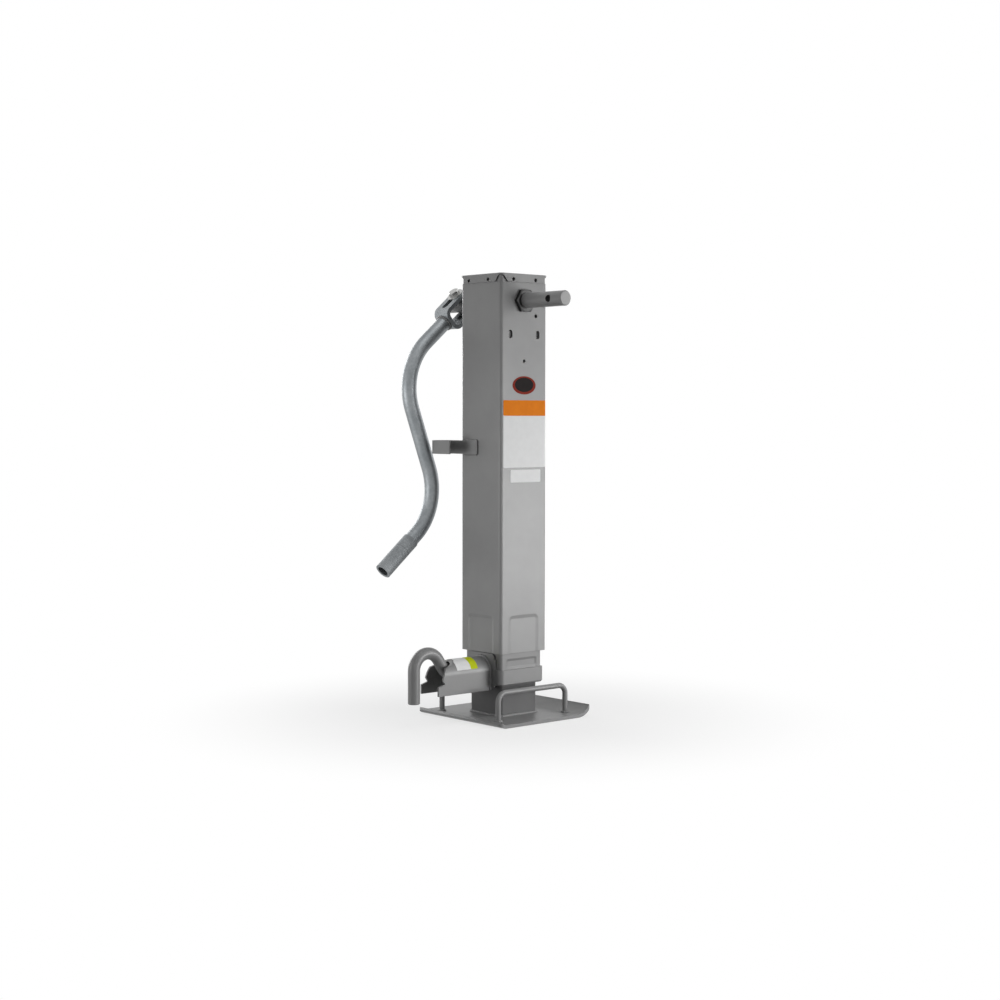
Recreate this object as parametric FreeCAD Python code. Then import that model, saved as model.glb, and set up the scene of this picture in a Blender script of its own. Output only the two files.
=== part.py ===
"""Square drop-leg trailer jack with a side-wind crank, for welding to a trailer frame.

Frame: origin at the centre of the foot's sole, +Z up, the front face towards -Y,
the plunger towards -X. Lengths are in millimetres and angles in degrees.
The jack is modelled fully retracted, with the drop leg up and the crank folded down.
"""
import FreeCAD, Part
import math
import os

Vector = FreeCAD.Vector
X_AXIS = Vector(1, 0, 0)
Y_AXIS = Vector(0, 1, 0)
Z_AXIS = Vector(0, 0, 1)
ORIGIN = Vector(0, 0, 0)

# Telescoping square tubes
outer_side = 90.0
outer_wall = 3.5
outer_corner = 5.0
outer_length = 553.1
ram_wall = 3.5
ram_corner = 4.5
leg_wall = 3.5
leg_corner = 4.0
leg_length = 440.0
tube_gap = 1.5
guide_clearance = 0.4
ram_reveal = 47.2
leg_reveal = 46.2
ram_travel = 317.5

# Pressed guide pads in the mouths of the tubes
outer_pad_width = 59.0
outer_pad_height = 55.6
outer_pad_corner = 8.0
outer_pad_bevel = 5.0
ram_pad_width = 61.0
ram_pad_height = 15.0
ram_pad_corner = 4.5
ram_pad_bevel = 3.5
ram_pad_rise = 23.8

# Top cap
cap_sheet = 2.0
cap_flange = 12.5
cap_seat = 1.0
cap_relief_width = 18.4
cap_relief_radius = 6.0
cap_hole = 5.5
cap_hole_spacing = 43.0
cap_hole_drop = 8.5
cap_side_hole_shift = 4.5

# Small holes in the front face
side_hole = 5.5
side_hole_offset = 23.0
side_hole_drop = 21.7
middle_hole = 5.0
middle_hole_drop = 88.0
tab_slot_width = 7.0
tab_slot_height = 12.0
tab_spacing = 53.0
tab_recess = 2.5

# Crank shaft and bushings
shaft_drop = 37.0
shaft_diameter = 22.2
journal_diameter = 22.6
shaft_front_reach = 88.5
shaft_rear_reach = 79.0
shaft_chamfer = 1.5
cross_hole_inset = 26.0
cross_hole = 10.3
front_hole_angle = 0.0
crank_rest_angle = 50.0
bushing_hex = 31.75
bushing_head = 6.0
bushing_sleeve = 28.0
bushing_chamfer = 1.5
running_clearance = 0.05
shaft_collar_diameter = 30.0
shaft_collar_width = 8.0
axial_play = 1.2

# Bevel gears
gear_module = 2.75
pinion_teeth = 16
wheel_teeth = 24
gear_face = 10.0
pressure_angle = 20.0
addendum_factor = 0.85
dedendum_factor = 1.1
backlash = 0.3
gear_rim = 4.0
pinion_hub_length = 20.0
pinion_hub_gap = 0.3
wheel_hub_diameter = 40.0
wheel_hub_drop = 21.3
wheel_pin_drop = 16.0
roll_pin = 6.0

# Bearing plate, thrust bearing and lifting screw
plate_thickness = 8.5
plate_corner = 3.0
gear_washer_thickness = 1.5
race_thickness = 2.0
race_outer = 50.0
roller_diameter = 4.0
roller_length = 8.0
roller_count = 12
cage_thickness = 1.6
cage_clearance = 0.1
screw_diameter = 28.6
screw_journal = 18.0
screw_collar_height = 8.0
screw_clearance = 0.1
screw_overrun = 9.5
stop_diameter = 38.0
stop_height = 10.0
nut_gap = 5.0
nut_flange = 8.0
nut_flange_corner = 4.0
nut_diameter = 46.0
nut_length = 30.0

# Collar, plunger housing and plunger
collar_thickness = 3.2
collar_height = 22.8
collar_chamfer = 2.0
base_width = 56.0
base_height = 51.5
base_drop = 5.2
base_corner = 6.0
housing_radius = 21.0
housing_sheet = 3.0
housing_drop = 28.1
housing_crown = 59.0
housing_neck_reach = 69.0
housing_neck_drop = 6.1
housing_shoulder_reach = 84.0
housing_shoulder_drop = 10.6
housing_wall_reach = 90.3
housing_notch = 4.0
housing_lip_reach = 98.4
housing_lip_height = 13.5
housing_notch_height = 17.0
housing_slope_height = 23.0
pin_height = 20.4
pin_diameter = 17.5
pin_clearance = 0.3
pin_tip_gap = 0.3
pin_chamfer = 1.0
pin_travel_in = 5.0
lock_hole_clearance = 0.5
lock_hole_count = 7
lock_hole_pitch = 55.0
hook_rise_angle = 56.0
hook_bend_radius = 20.0
hook_radius = 24.0
hook_elbow_reach = 68.1
hook_leg_reach = 127.2
hook_leg_drop = 38.1
stop_plate = 4.0
stop_plate_reach = 47.0
collar_ring = 28.0
collar_ring_width = 4.0
collar_pin_gap = 1.5
collar_pin_diameter = 4.0
collar_pin_length = 26.0
spring_wire = 2.2
spring_coils = 4.5
spring_mean = 22.0
spring_sides = 6
spring_steps = 16

# Foot
foot_depth = 188.0
foot_sheet = 5.0
foot_corner = 7.0
foot_right_flat = 65.0
foot_right_radius = 26.0
foot_right_angle = 60.0
foot_left_flat = 76.0
foot_left_radius = 11.0
foot_left_angle = 51.0
hoop_wire = 8.0
hoop_width = 132.0
hoop_height = 46.0
hoop_bend_radius = 13.0
hoop_inset = 30.0

# Crank handle
clevis_side_clearance = 1.5
clevis_ear = 6.0
clevis_base = 6.0
clevis_width = 30.0
clevis_tip = 14.0
clevis_tip_corner = 10.0
clevis_bend = 6.0
clevis_end_gap = 3.5
handle_lock_travel = 8.0
slot_length = 26.0
handle_tube = 22.2
handle_wall = 2.5
handle_first = 110.0
handle_middle = 221.0
handle_last = 142.0
handle_bend_angle = 70.0
handle_bend_radius = 90.0
grip_length = 68.0
grip_wall = 1.2
grip_groove_inset = 45.0
grip_groove = 1.6
grip_groove_depth = 0.5
bolt_diameter = 9.5
bolt_hex = 14.3
bolt_head = 6.2
bolt_thread_end = 2.5
nut_hex = 14.3
lock_nut_height = 11.0
washer_diameter = 25.4
washer_thickness = 2.0

# Handle clip
clip_width = 20.0
clip_sheet = 2.5
clip_gap = 27.0
clip_long_leg = 62.0
clip_short_leg = 34.0
clip_level = 400.0
clip_handle_gap = 3.0

# Levels and sizes that follow from the driving dimensions
leg_bottom = foot_sheet
ram_bottom = leg_bottom + leg_reveal
outer_bottom = ram_bottom + ram_reveal
outer_top = outer_bottom + outer_length
cap_top = outer_top + cap_sheet
outer_half = outer_side / 2
outer_bore = outer_side - 2 * outer_wall
ram_side = outer_bore - 2 * tube_gap
ram_half = ram_side / 2
ram_bore = ram_side - 2 * ram_wall
leg_side = ram_bore - 2 * tube_gap
leg_half = leg_side / 2
pad_depth = tube_gap - guide_clearance

shaft_level = outer_top - shaft_drop
shaft_front = -outer_half - shaft_front_reach
shaft_rear = outer_half + shaft_rear_reach
crank_pivot = Vector(0, shaft_rear - cross_hole_inset, shaft_level)

cone_distance = gear_module / 2 * math.hypot(pinion_teeth, wheel_teeth)
pinion_cone = math.degrees(math.atan2(pinion_teeth, wheel_teeth))
wheel_cone = 90.0 - pinion_cone
wheel_hub_bottom = shaft_level - gear_module * pinion_teeth / 2 - wheel_hub_drop
plate_top = wheel_hub_bottom - gear_washer_thickness - running_clearance
plate_bottom = plate_top - plate_thickness
fixed_race_bottom = plate_bottom - race_thickness
turning_race_top = fixed_race_bottom - roller_diameter - 2 * running_clearance
turning_race_bottom = turning_race_top - race_thickness
race_inner = screw_diameter + 2 * screw_clearance
screw_collar_bottom = turning_race_bottom - screw_collar_height
nut_top = screw_collar_bottom - nut_gap
ram_top = nut_top - nut_flange
nut_bottom = ram_top - nut_length
screw_bottom = nut_bottom - ram_travel - screw_overrun - stop_height

pin_level = ram_bottom + pin_height
base_face = ram_half + collar_thickness
housing_bottom = pin_level - housing_drop
collar_ring_reach = pin_travel_in + collar_pin_gap + collar_pin_diameter + collar_ring_width
clevis_gap = shaft_diameter + 2 * clevis_side_clearance
clevis_outer = clevis_gap + 2 * clevis_ear
slot_width = cross_hole
pivot_to_base = cross_hole_inset + clevis_end_gap + handle_lock_travel


def cylinder(diameter, start, end):
    """A round bar between two points."""
    run = end - start
    return Part.makeCylinder(diameter / 2, run.Length, start, run)


def tube(outer, inner, start, end):
    """A round sleeve between two points."""
    return cylinder(outer, start, end).cut(cylinder(inner, start, end))


def edges_along(shape, axis):
    """The straight edges of a shape that run along an axis."""
    straight = [e for e in shape.Edges if isinstance(e.Curve, (Part.Line, Part.LineSegment))]
    return [e for e in straight if abs(e.tangentAt(e.FirstParameter).dot(axis)) > 0.999]


def square_prism(side, corner, low, high):
    """An upright square bar with rounded corners, centred on the jack's axis."""
    bar = Part.makeBox(side, side, high - low, Vector(-side / 2, -side / 2, low))
    return bar.makeFillet(corner, edges_along(bar, Z_AXIS))


def square_tube(side, wall, corner, low, high):
    """An upright square tube."""
    bore = square_prism(side - 2 * wall, max(corner - wall, 1.0), low, high)
    return square_prism(side, corner, low, high).cut(bore)


def turned(shape, angle, axis=Z_AXIS, centre=ORIGIN):
    """A copy of a shape turned about an axis."""
    copy = shape.copy()
    copy.rotate(centre, axis, angle)
    return copy


def moved(shape, offset):
    """A copy of a shape moved by an offset."""
    copy = shape.copy()
    copy.translate(offset)
    return copy


def round_path(corners, radii):
    """A wire of straight runs joined by tangent arcs at the inner corner points."""
    edges = []
    start = corners[0]
    for before, corner, after, radius in zip(corners, corners[1:], corners[2:], radii):
        back = (before - corner).normalize()
        ahead = (after - corner).normalize()
        half_turn = (math.pi - back.getAngle(ahead)) / 2
        setback = radius * math.tan(half_turn)
        inward = (back + ahead).normalize()
        arc_start = corner + back * setback
        arc_middle = corner + inward * (radius / math.cos(half_turn) - radius)
        arc_end = corner + ahead * setback
        edges.append(Part.LineSegment(start, arc_start).toShape())
        edges.append(Part.Arc(arc_start, arc_middle, arc_end).toShape())
        start = arc_end
    edges.append(Part.LineSegment(start, corners[-1]).toShape())
    return Part.Wire(edges)


def bent_bar(corners, radii, diameter):
    """A round bar that follows straight runs and tangent bends."""
    path = round_path(corners, radii)
    section = Part.Wire(Part.makeCircle(diameter / 2, corners[0], corners[1] - corners[0]))
    return path.makePipeShell([section], True, False)


def hexagon(across_flats, start, end, flat_normal):
    """A hexagonal bar with one flat facing flat_normal."""
    run = end - start
    axis = Vector(run).normalize()
    corner_radius = across_flats / math.sqrt(3)
    first = FreeCAD.Rotation(axis, 30).multVec(Vector(flat_normal).normalize()) * corner_radius
    points = [start + FreeCAD.Rotation(axis, 60 * i).multVec(first) for i in range(7)]
    return Part.Face(Part.makePolygon(points)).extrude(run)


def crowned_hexagon(across_flats, start, end, flat_normal, chamfer):
    """A hexagonal bar whose far end is chamfered to a circle, as on a nut or bolt head."""
    run = end - start
    axis = Vector(run).normalize()
    corner_radius = across_flats / math.sqrt(3)
    skirt_end = end - axis * chamfer
    skirt = Part.makeCylinder(corner_radius, run.Length - chamfer, start, axis)
    crown = Part.makeCone(corner_radius, corner_radius - 2 * chamfer, chamfer, skirt_end, axis)
    return hexagon(across_flats, start, end, flat_normal).common(skirt.fuse(crown))


def panel(width, low, high, corner, front, back, round_bottom):
    """A rounded panel on the front face, between two depths measured along Y."""
    block = Part.makeBox(width, back - front, high - low, Vector(-width / 2, front, low))
    edges = edges_along(block, Y_AXIS)
    if not round_bottom:
        edges = [e for e in edges if e.CenterOfMass.z > low + (high - low) / 2]
    return block.makeFillet(corner, edges)


def panel_outline(width, low, high, corner, y, round_bottom):
    """A rounded panel's outline on the plane y."""
    half = width / 2
    ease = corner * (1 - math.sqrt(0.5))
    upper = [(-half, high - corner), (-half + ease, high - ease), (-half + corner, high)]
    lower = [(half, low), (-half, low)]
    if round_bottom:
        lower = [(half, low + corner), (half - ease, low + ease), (half - corner, low)]
    runs = [upper, [(-x, z) for x, z in reversed(upper)], lower]
    if round_bottom:
        runs.append([(-x, z) for x, z in reversed(lower)])
    runs = [[Vector(x, y, z) for x, z in run] for run in runs]
    edges = []
    for run, following in zip(runs, runs[1:] + runs[:1]):
        edges.append(Part.Arc(*run).toShape() if len(run) == 3 else Part.LineSegment(*run).toShape())
        edges.append(Part.LineSegment(run[-1], following[0]).toShape())
    return Part.Wire(edges)


def pressed_pad(width, low, high, corner, bevel, front, round_bottom):
    """A pad pressed inwards by the guide depth, its walls sloping over the bevel."""
    inner_low = low + bevel if round_bottom else low
    inner_corner = max(corner - bevel, 1.0)
    back = front + pad_depth
    outer = panel_outline(width, low, high, corner, front, round_bottom)
    inner = panel_outline(width - 2 * bevel, inner_low, high - bevel, inner_corner, back, round_bottom)
    return Part.makeLoft([outer, inner], True, True)


def around(shape, angles):
    """Copies of a front-face feature on other sides of the jack."""
    return Part.makeCompound([turned(shape, angle) for angle in angles])


# Outer housing
def make_outer_tube():
    body = square_tube(outer_side, outer_wall, outer_corner, outer_bottom, outer_top)
    seat_low = cap_top - cap_flange
    seat_ring = square_prism(outer_side + 2, outer_corner, seat_low, outer_top)
    seat_core = square_prism(outer_side - 2 * cap_seat, outer_corner - cap_seat, seat_low, outer_top)
    body = body.cut(seat_ring.cut(seat_core))
    sides = (0, 90, 180, 270)
    pad_top = outer_bottom + outer_pad_height
    pad_shape = (outer_pad_width, outer_bottom, pad_top, outer_pad_corner, outer_pad_bevel)
    pad = pressed_pad(*pad_shape, -outer_bore / 2, False)
    recess = pressed_pad(*pad_shape, -outer_half, False)
    body = body.fuse([turned(pad, angle) for angle in sides]).cut(around(recess, sides))
    for hole in cap_holes():
        body = body.cut(hole)
    through = Vector(0, outer_side, 0)
    shaft_centre = Vector(0, 0, shaft_level)
    body = body.cut(cylinder(bushing_sleeve, shaft_centre - through, shaft_centre + through))
    front = Vector(0, -outer_side, 0)
    side_centre = Vector(side_hole_offset, 0, shaft_level - side_hole_drop)
    body = body.cut(cylinder(side_hole, side_centre + front, side_centre))
    middle_centre = Vector(0, 0, shaft_level - middle_hole_drop)
    body = body.cut(cylinder(middle_hole, middle_centre + front, middle_centre))
    for slot in tab_slots(-outer_half - 1, -outer_bore / 2):
        body = body.cut(slot)
    return body.removeSplitter()


def cap_holes():
    """The pairs of holes through the cap's flanges and the tube behind them."""
    level = cap_top - cap_hole_drop
    holes = []
    for angle, shift in ((0, 0), (180, 0), (90, cap_side_hole_shift), (270, -cap_side_hole_shift)):
        for side in (-1, 1):
            centre = Vector(shift + side * cap_hole_spacing / 2, 0, level)
            outside = centre - Y_AXIS * outer_side
            inside = centre - Y_AXIS * (outer_half / 2)
            holes.append(turned(cylinder(cap_hole, outside, inside), angle))
    return holes


def tab_slots(front, back):
    """The two upright slots in the front face that take the bearing plate's tabs."""
    level = (plate_top + plate_bottom) / 2
    low = level - tab_slot_height / 2
    high = level + tab_slot_height / 2
    slot = panel(tab_slot_width, low, high, tab_slot_width / 2 - 0.01, front, back, True)
    return [moved(slot, Vector(side * tab_spacing / 2, 0, 0)) for side in (-1, 1)]


def make_top_cap():
    cap_side = outer_side - 2 * cap_seat + 2 * cap_sheet
    cap_corner = outer_corner - cap_seat + cap_sheet
    rim_low = cap_top - cap_flange
    shell = square_prism(cap_side, cap_corner, rim_low, cap_top)
    seat = square_prism(outer_side - 2 * cap_seat, outer_corner - cap_seat, rim_low, outer_top)
    shell = shell.cut(seat)
    crown = [e for e in shell.Edges if e.BoundBox.ZMin > cap_top - 0.01]
    shell = shell.makeFillet(cap_sheet * 0.6, crown)
    relief = corner_relief(rim_low, outer_top)
    for angle in (45, 135, 225, 315):
        shell = shell.cut(turned(relief, angle))
    for hole in cap_holes():
        shell = shell.cut(hole)
    return shell


def corner_relief(low, high):
    """The arched gap between two cap flanges, cut along the jack's diagonal."""
    half = cap_relief_width / 2
    near = outer_side / math.sqrt(2) + 2 * cap_sheet
    centre_height = high - low - cap_relief_radius
    reach = math.hypot(half, centre_height)
    slant = math.atan2(centre_height, -half) - math.asin(cap_relief_radius / reach)
    run = math.sqrt(reach ** 2 - cap_relief_radius ** 2)
    touch_x = half + run * math.cos(slant)
    touch_z = low + run * math.sin(slant)
    right = Vector(half, -near, low)
    right_touch = Vector(touch_x, -near, touch_z)
    left_touch = Vector(-touch_x, -near, touch_z)
    left = Vector(-half, -near, low)
    outline = [Part.LineSegment(left, right).toShape(),
               Part.LineSegment(right, right_touch).toShape(),
               Part.Arc(right_touch, Vector(0, -near, high), left_touch).toShape(),
               Part.LineSegment(left_touch, left).toShape()]
    return Part.Face(Part.Wire(outline)).extrude(Y_AXIS * cap_relief_width)


def make_bushing(side):
    """A hexagonal flanged bushing in the front (side -1) or rear (side 1) wall."""
    face = Vector(0, side * outer_half, shaft_level)
    head_end = Vector(0, side * (outer_half + bushing_head), shaft_level)
    inner_end = Vector(0, side * outer_bore / 2, shaft_level)
    head = crowned_hexagon(bushing_hex, face, head_end, Z_AXIS, bushing_chamfer)
    body = head.fuse(cylinder(bushing_sleeve, inner_end, face)).removeSplitter()
    bore = journal_diameter + 2 * running_clearance
    return body.cut(cylinder(bore, inner_end, head_end))


def make_bearing_plate():
    plate = square_prism(outer_bore, plate_corner, plate_bottom, plate_top)
    plate = plate.cut(cylinder(race_inner, Vector(0, 0, plate_bottom), Vector(0, 0, plate_top)))
    slab_start = Vector(-outer_half, -outer_side, plate_bottom)
    slab = Part.makeBox(outer_side, outer_side, plate_thickness, slab_start)
    tabs = [slot.common(slab) for slot in tab_slots(-outer_half + tab_recess, -outer_bore / 2)]
    return plate.fuse(tabs).removeSplitter()


def make_gear_washer():
    low = Vector(0, 0, plate_top)
    return tube(wheel_hub_diameter, race_inner, low, low + Z_AXIS * gear_washer_thickness)


def make_thrust_race(low):
    base = Vector(0, 0, low)
    return tube(race_outer, race_inner, base, base + Z_AXIS * race_thickness)


def roller_bars(diameter, length):
    """Rollers that lie like spokes between the two thrust races."""
    level = fixed_race_bottom - running_clearance - roller_diameter / 2
    middle = (race_outer + race_inner) / 4
    start = Vector(middle - length / 2, 0, level)
    bar = cylinder(diameter, start, start + X_AXIS * length)
    return [turned(bar, 360 * i / roller_count) for i in range(roller_count)]


def make_thrust_rollers():
    return Part.makeCompound(roller_bars(roller_diameter, roller_length))


def make_thrust_cage():
    level = fixed_race_bottom - running_clearance - roller_diameter / 2
    low = Vector(0, 0, level - cage_thickness / 2)
    ring = tube(race_outer, race_inner, low, low + Z_AXIS * cage_thickness)
    for bar in roller_bars(roller_diameter + 2 * cage_clearance, roller_length + 2 * cage_clearance):
        ring = ring.cut(bar)
    return ring


def make_handle_clip():
    """A flat strip bent to a J, its long leg lying on the tube's left face."""
    bend = clip_gap / 2 + clip_sheet
    centre_x = -outer_half - bend
    centre_y = crank_pivot.y - handle_tube / 2 - clip_handle_gap - bend
    low = clip_level - clip_width / 2
    centre = Vector(centre_x, centre_y, low)
    ring = tube(2 * bend, clip_gap, centre, centre + Z_AXIS * clip_width)
    rear_half = Part.makeBox(2 * bend, bend, clip_width, Vector(centre_x - bend, centre_y, low))
    hook = ring.common(rear_half)
    long_leg = Part.makeBox(clip_sheet, clip_long_leg, clip_width,
                            Vector(-outer_half - clip_sheet, centre_y - clip_long_leg, low))
    short_leg = Part.makeBox(clip_sheet, clip_short_leg, clip_width,
                             Vector(centre_x - bend, centre_y - clip_short_leg, low))
    return hook.fuse([long_leg, short_leg]).removeSplitter()


# Crank shaft and bevel gears
def cross_axis(angle):
    """Direction of a cross hole in the shaft, turned about the shaft."""
    return FreeCAD.Rotation(Y_AXIS, angle).multVec(X_AXIS)


def make_drive_shaft():
    front = Vector(0, shaft_front, shaft_level)
    rear = Vector(0, shaft_rear, shaft_level)
    bar = cylinder(shaft_diameter, front, rear)
    rims = [e for e in bar.Edges if isinstance(e.Curve, Part.Circle)]
    bar = bar.makeChamfer(shaft_chamfer, rims)
    shoulder = outer_half + bushing_head
    journal = cylinder(journal_diameter, Vector(0, -shoulder, shaft_level), Vector(0, shoulder, shaft_level))
    bar = bar.fuse(journal).removeSplitter()
    front_hole = Vector(0, shaft_front + cross_hole_inset, shaft_level)
    for centre, angle in ((front_hole, front_hole_angle), (crank_pivot, crank_rest_angle)):
        reach = cross_axis(angle) * shaft_diameter
        bar = bar.cut(cylinder(cross_hole, centre - reach, centre + reach))
    return bar.cut(make_pinion_pin())


def make_shaft_collar():
    inner = -outer_bore / 2 + axial_play
    start = Vector(0, inner, shaft_level)
    return tube(shaft_collar_diameter, journal_diameter, start, start + Y_AXIS * shaft_collar_width)


def involute(angle):
    return math.tan(angle) - angle


def tooth_space(teeth, cone_angle):
    """Outline of one tooth space on the plane that touches the back cone at the heel.

    The gear's apex is the origin, its axis is +Z and the space lies over +X. The outline is
    that of the spur gear with the back cone's radius.
    """
    cone = math.radians(cone_angle)
    pitch_radius = cone_distance * math.tan(cone)
    virtual_teeth = teeth / math.cos(cone)
    base_radius = pitch_radius * math.cos(math.radians(pressure_angle))
    root_radius = pitch_radius - dedendum_factor * gear_module
    top_radius = pitch_radius + 2 * addendum_factor * gear_module
    half_tooth = (math.pi * gear_module / 2 - backlash) / 2 / pitch_radius
    half_base = half_tooth + involute(math.radians(pressure_angle))
    steps = 4
    flank_start = max(base_radius, root_radius)
    radii = [flank_start + (top_radius - flank_start) * i / steps for i in range(steps + 1)]
    if root_radius < base_radius:
        radii.insert(0, root_radius)
    outward = Vector(math.cos(cone), 0, -math.sin(cone))
    pitch_point = Vector(math.sin(cone), 0, math.cos(cone)) * cone_distance
    centre = pitch_point - outward * pitch_radius
    flank = []
    for radius in radii:
        roll = math.acos(min(1.0, base_radius / radius))
        angle = math.pi / virtual_teeth - (half_base - involute(roll))
        flank.append((radius, angle))
    polar = flank + [(radius, -angle) for radius, angle in reversed(flank)]
    points = [centre + outward * (r * math.cos(a)) + Y_AXIS * (r * math.sin(a)) for r, a in polar]
    return points + points[:1]


def cone_point(cone_angle, height):
    """Radius and axial distance of a heel point at a height above the pitch cone."""
    cone = math.radians(cone_angle)
    radius = cone_distance * math.sin(cone) + height * math.cos(cone)
    axial = cone_distance * math.cos(cone) - height * math.sin(cone)
    return radius, axial


def bevel_body(teeth, cone_angle, hub_profile):
    """A straight bevel gear about +Z with its apex at the origin."""
    toe = (cone_distance - gear_face) / cone_distance
    tip = cone_point(cone_angle, addendum_factor * gear_module)
    rim = cone_point(cone_angle, -dedendum_factor * gear_module - gear_rim)
    outline = [(toe * tip[0], toe * tip[1]), tip, rim] + hub_profile
    points = [Vector(radius, 0, axial) for radius, axial in outline]
    blank = Part.Face(Part.makePolygon(points + points[:1])).revolve(ORIGIN, Z_AXIS, 360)
    space = tooth_space(teeth, cone_angle)
    heel_end = Part.makePolygon([p * 1.25 for p in space])
    toe_end = Part.makePolygon([p * (toe - 0.03) for p in space])
    cutter = Part.makeLoft([heel_end, toe_end], True, True)
    return blank.cut([turned(cutter, 360 * i / teeth) for i in range(teeth)])


def pinion_hub_radius():
    toe = (cone_distance - gear_face) / cone_distance
    root = cone_point(pinion_cone, -dedendum_factor * gear_module)
    return toe * root[0] - pinion_hub_gap


def make_bevel_pinion():
    """Pinion on the shaft, behind the screw's axis, with its hub towards the middle."""
    toe = (cone_distance - gear_face) / cone_distance
    root = cone_point(pinion_cone, -dedendum_factor * gear_module)
    rim = cone_point(pinion_cone, -dedendum_factor * gear_module - gear_rim)
    bore = journal_diameter / 2
    back = outer_bore / 2 - axial_play
    hub = pinion_hub_radius()
    front = (toe - 0.05) * root[1]
    hub_start = front - pinion_hub_length
    profile = [(rim[0], back), (bore, back), (bore, hub_start), (hub, hub_start), (hub, front)]
    gear = bevel_body(pinion_teeth, pinion_cone, profile)
    gear = turned(gear, 90)
    gear = moved(turned(gear, -90, X_AXIS), Vector(0, 0, shaft_level))
    return gear.cut(make_pinion_pin())


def make_pinion_pin():
    toe = (cone_distance - gear_face) / cone_distance
    root = cone_point(pinion_cone, -dedendum_factor * gear_module)
    y = (toe - 0.05) * root[1] - pinion_hub_length / 2
    reach = pinion_hub_radius()
    centre = Vector(0, y, shaft_level)
    return cylinder(roll_pin, centre - X_AXIS * reach, centre + X_AXIS * reach)


def make_bevel_gear():
    """Larger gear on top of the screw, in mesh with the pinion above its rear edge."""
    toe = (cone_distance - gear_face) / cone_distance
    rim = cone_point(wheel_cone, -dedendum_factor * gear_module - gear_rim)
    hub = wheel_hub_diameter / 2
    bore = screw_journal / 2
    depth = shaft_level - wheel_hub_bottom
    web = toe * rim[1]
    profile = [(hub, rim[1]), (hub, depth), (bore, depth), (bore, web), (toe * rim[0], web)]
    gear = bevel_body(wheel_teeth, wheel_cone, profile)
    gear = turned(gear, 180 / wheel_teeth - 90)
    gear = moved(turned(gear, 180, X_AXIS), Vector(0, 0, shaft_level))
    return gear.cut(make_gear_pin())


def make_gear_pin():
    level = shaft_level - gear_module * pinion_teeth / 2 - wheel_pin_drop
    reach = wheel_hub_diameter / 2
    centre = Vector(0, 0, level)
    return cylinder(roll_pin, centre - X_AXIS * reach, centre + X_AXIS * reach)


def make_lift_screw():
    """Thread body, thrust collar and the journal that carries the gear."""
    bottom = Vector(0, 0, screw_bottom)
    collar_low = Vector(0, 0, screw_collar_bottom)
    collar_high = Vector(0, 0, turning_race_bottom)
    neck_top = Vector(0, 0, wheel_hub_bottom)
    toe = (cone_distance - gear_face) / cone_distance
    web = toe * cone_point(wheel_cone, -dedendum_factor * gear_module - gear_rim)[1]
    top = Vector(0, 0, shaft_level - web)
    thread = cylinder(screw_diameter, bottom, neck_top)
    collar = cylinder(race_outer, collar_low, collar_high)
    journal = cylinder(screw_journal, neck_top, top)
    return thread.fuse([collar, journal]).removeSplitter().cut(make_gear_pin())


def make_screw_stop():
    low = Vector(0, 0, screw_bottom)
    return tube(stop_diameter, screw_diameter, low, low + Z_AXIS * stop_height)


# Ram
def make_ram_tube():
    body = square_tube(ram_side, ram_wall, ram_corner, ram_bottom, ram_top)
    low = ram_bottom + ram_pad_rise
    shape = (ram_pad_width, low, low + ram_pad_height, ram_pad_corner, ram_pad_bevel)
    pad = pressed_pad(*shape, -ram_bore / 2, True)
    recess = pressed_pad(*shape, -ram_half, True)
    sides = (0, 90, 180)
    body = body.fuse([turned(pad, angle) for angle in sides]).cut(around(recess, sides))
    return body.cut(pin_bore(ram_half)).removeSplitter()


def pin_bore(outer_reach):
    """Guide hole for the plunger, from inside the leg out to a distance from the axis."""
    hole = pin_diameter + 2 * pin_clearance
    return cylinder(hole, Vector(0, 0, pin_level), Vector(-outer_reach, 0, pin_level))


def make_lift_nut():
    flange = square_prism(outer_bore - 2 * guide_clearance, nut_flange_corner, ram_top, nut_top)
    body = cylinder(nut_diameter, Vector(0, 0, nut_bottom), Vector(0, 0, ram_top))
    bore = cylinder(race_inner, Vector(0, 0, nut_bottom), Vector(0, 0, nut_top))
    return flange.fuse(body).removeSplitter().cut(bore)


def make_ram_collar():
    """Band welded round the mouth of the ram, open where the plunger's base sits."""
    side = ram_side + 2 * collar_thickness
    band = square_prism(side, ram_corner + collar_thickness, ram_bottom, ram_bottom + collar_height)
    lower = [e for e in band.Edges if e.BoundBox.ZMax < ram_bottom + 0.01]
    band = band.makeChamfer(collar_chamfer, lower)
    band = band.cut(square_prism(ram_side, ram_corner, ram_bottom, ram_bottom + collar_height))
    gap = Part.makeBox(side, base_width, collar_height, Vector(-side, -base_width / 2, ram_bottom))
    return band.cut(gap)


def make_plunger_base():
    low = ram_bottom - base_drop
    plate = Part.makeBox(collar_thickness, base_width, base_height, Vector(-base_face, -base_width / 2, low))
    plate = plate.makeFillet(base_corner, edges_along(plate, X_AXIS))
    return plate.cut(pin_bore(base_face))


def arch_prism(radius, bottom, near, far):
    """A half-round arch over the plunger's axis, between two distances from the jack's axis."""
    left = Vector(-near, -radius, bottom)
    right = Vector(-near, radius, bottom)
    spring_left = Vector(-near, -radius, pin_level)
    spring_right = Vector(-near, radius, pin_level)
    crown = Vector(-near, 0, pin_level + radius)
    outline = [Part.LineSegment(left, spring_left).toShape(),
               Part.Arc(spring_left, crown, spring_right).toShape(),
               Part.LineSegment(spring_right, right).toShape(),
               Part.LineSegment(right, left).toShape()]
    return Part.Face(Part.Wire(outline)).extrude(Vector(near - far, 0, 0))


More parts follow.
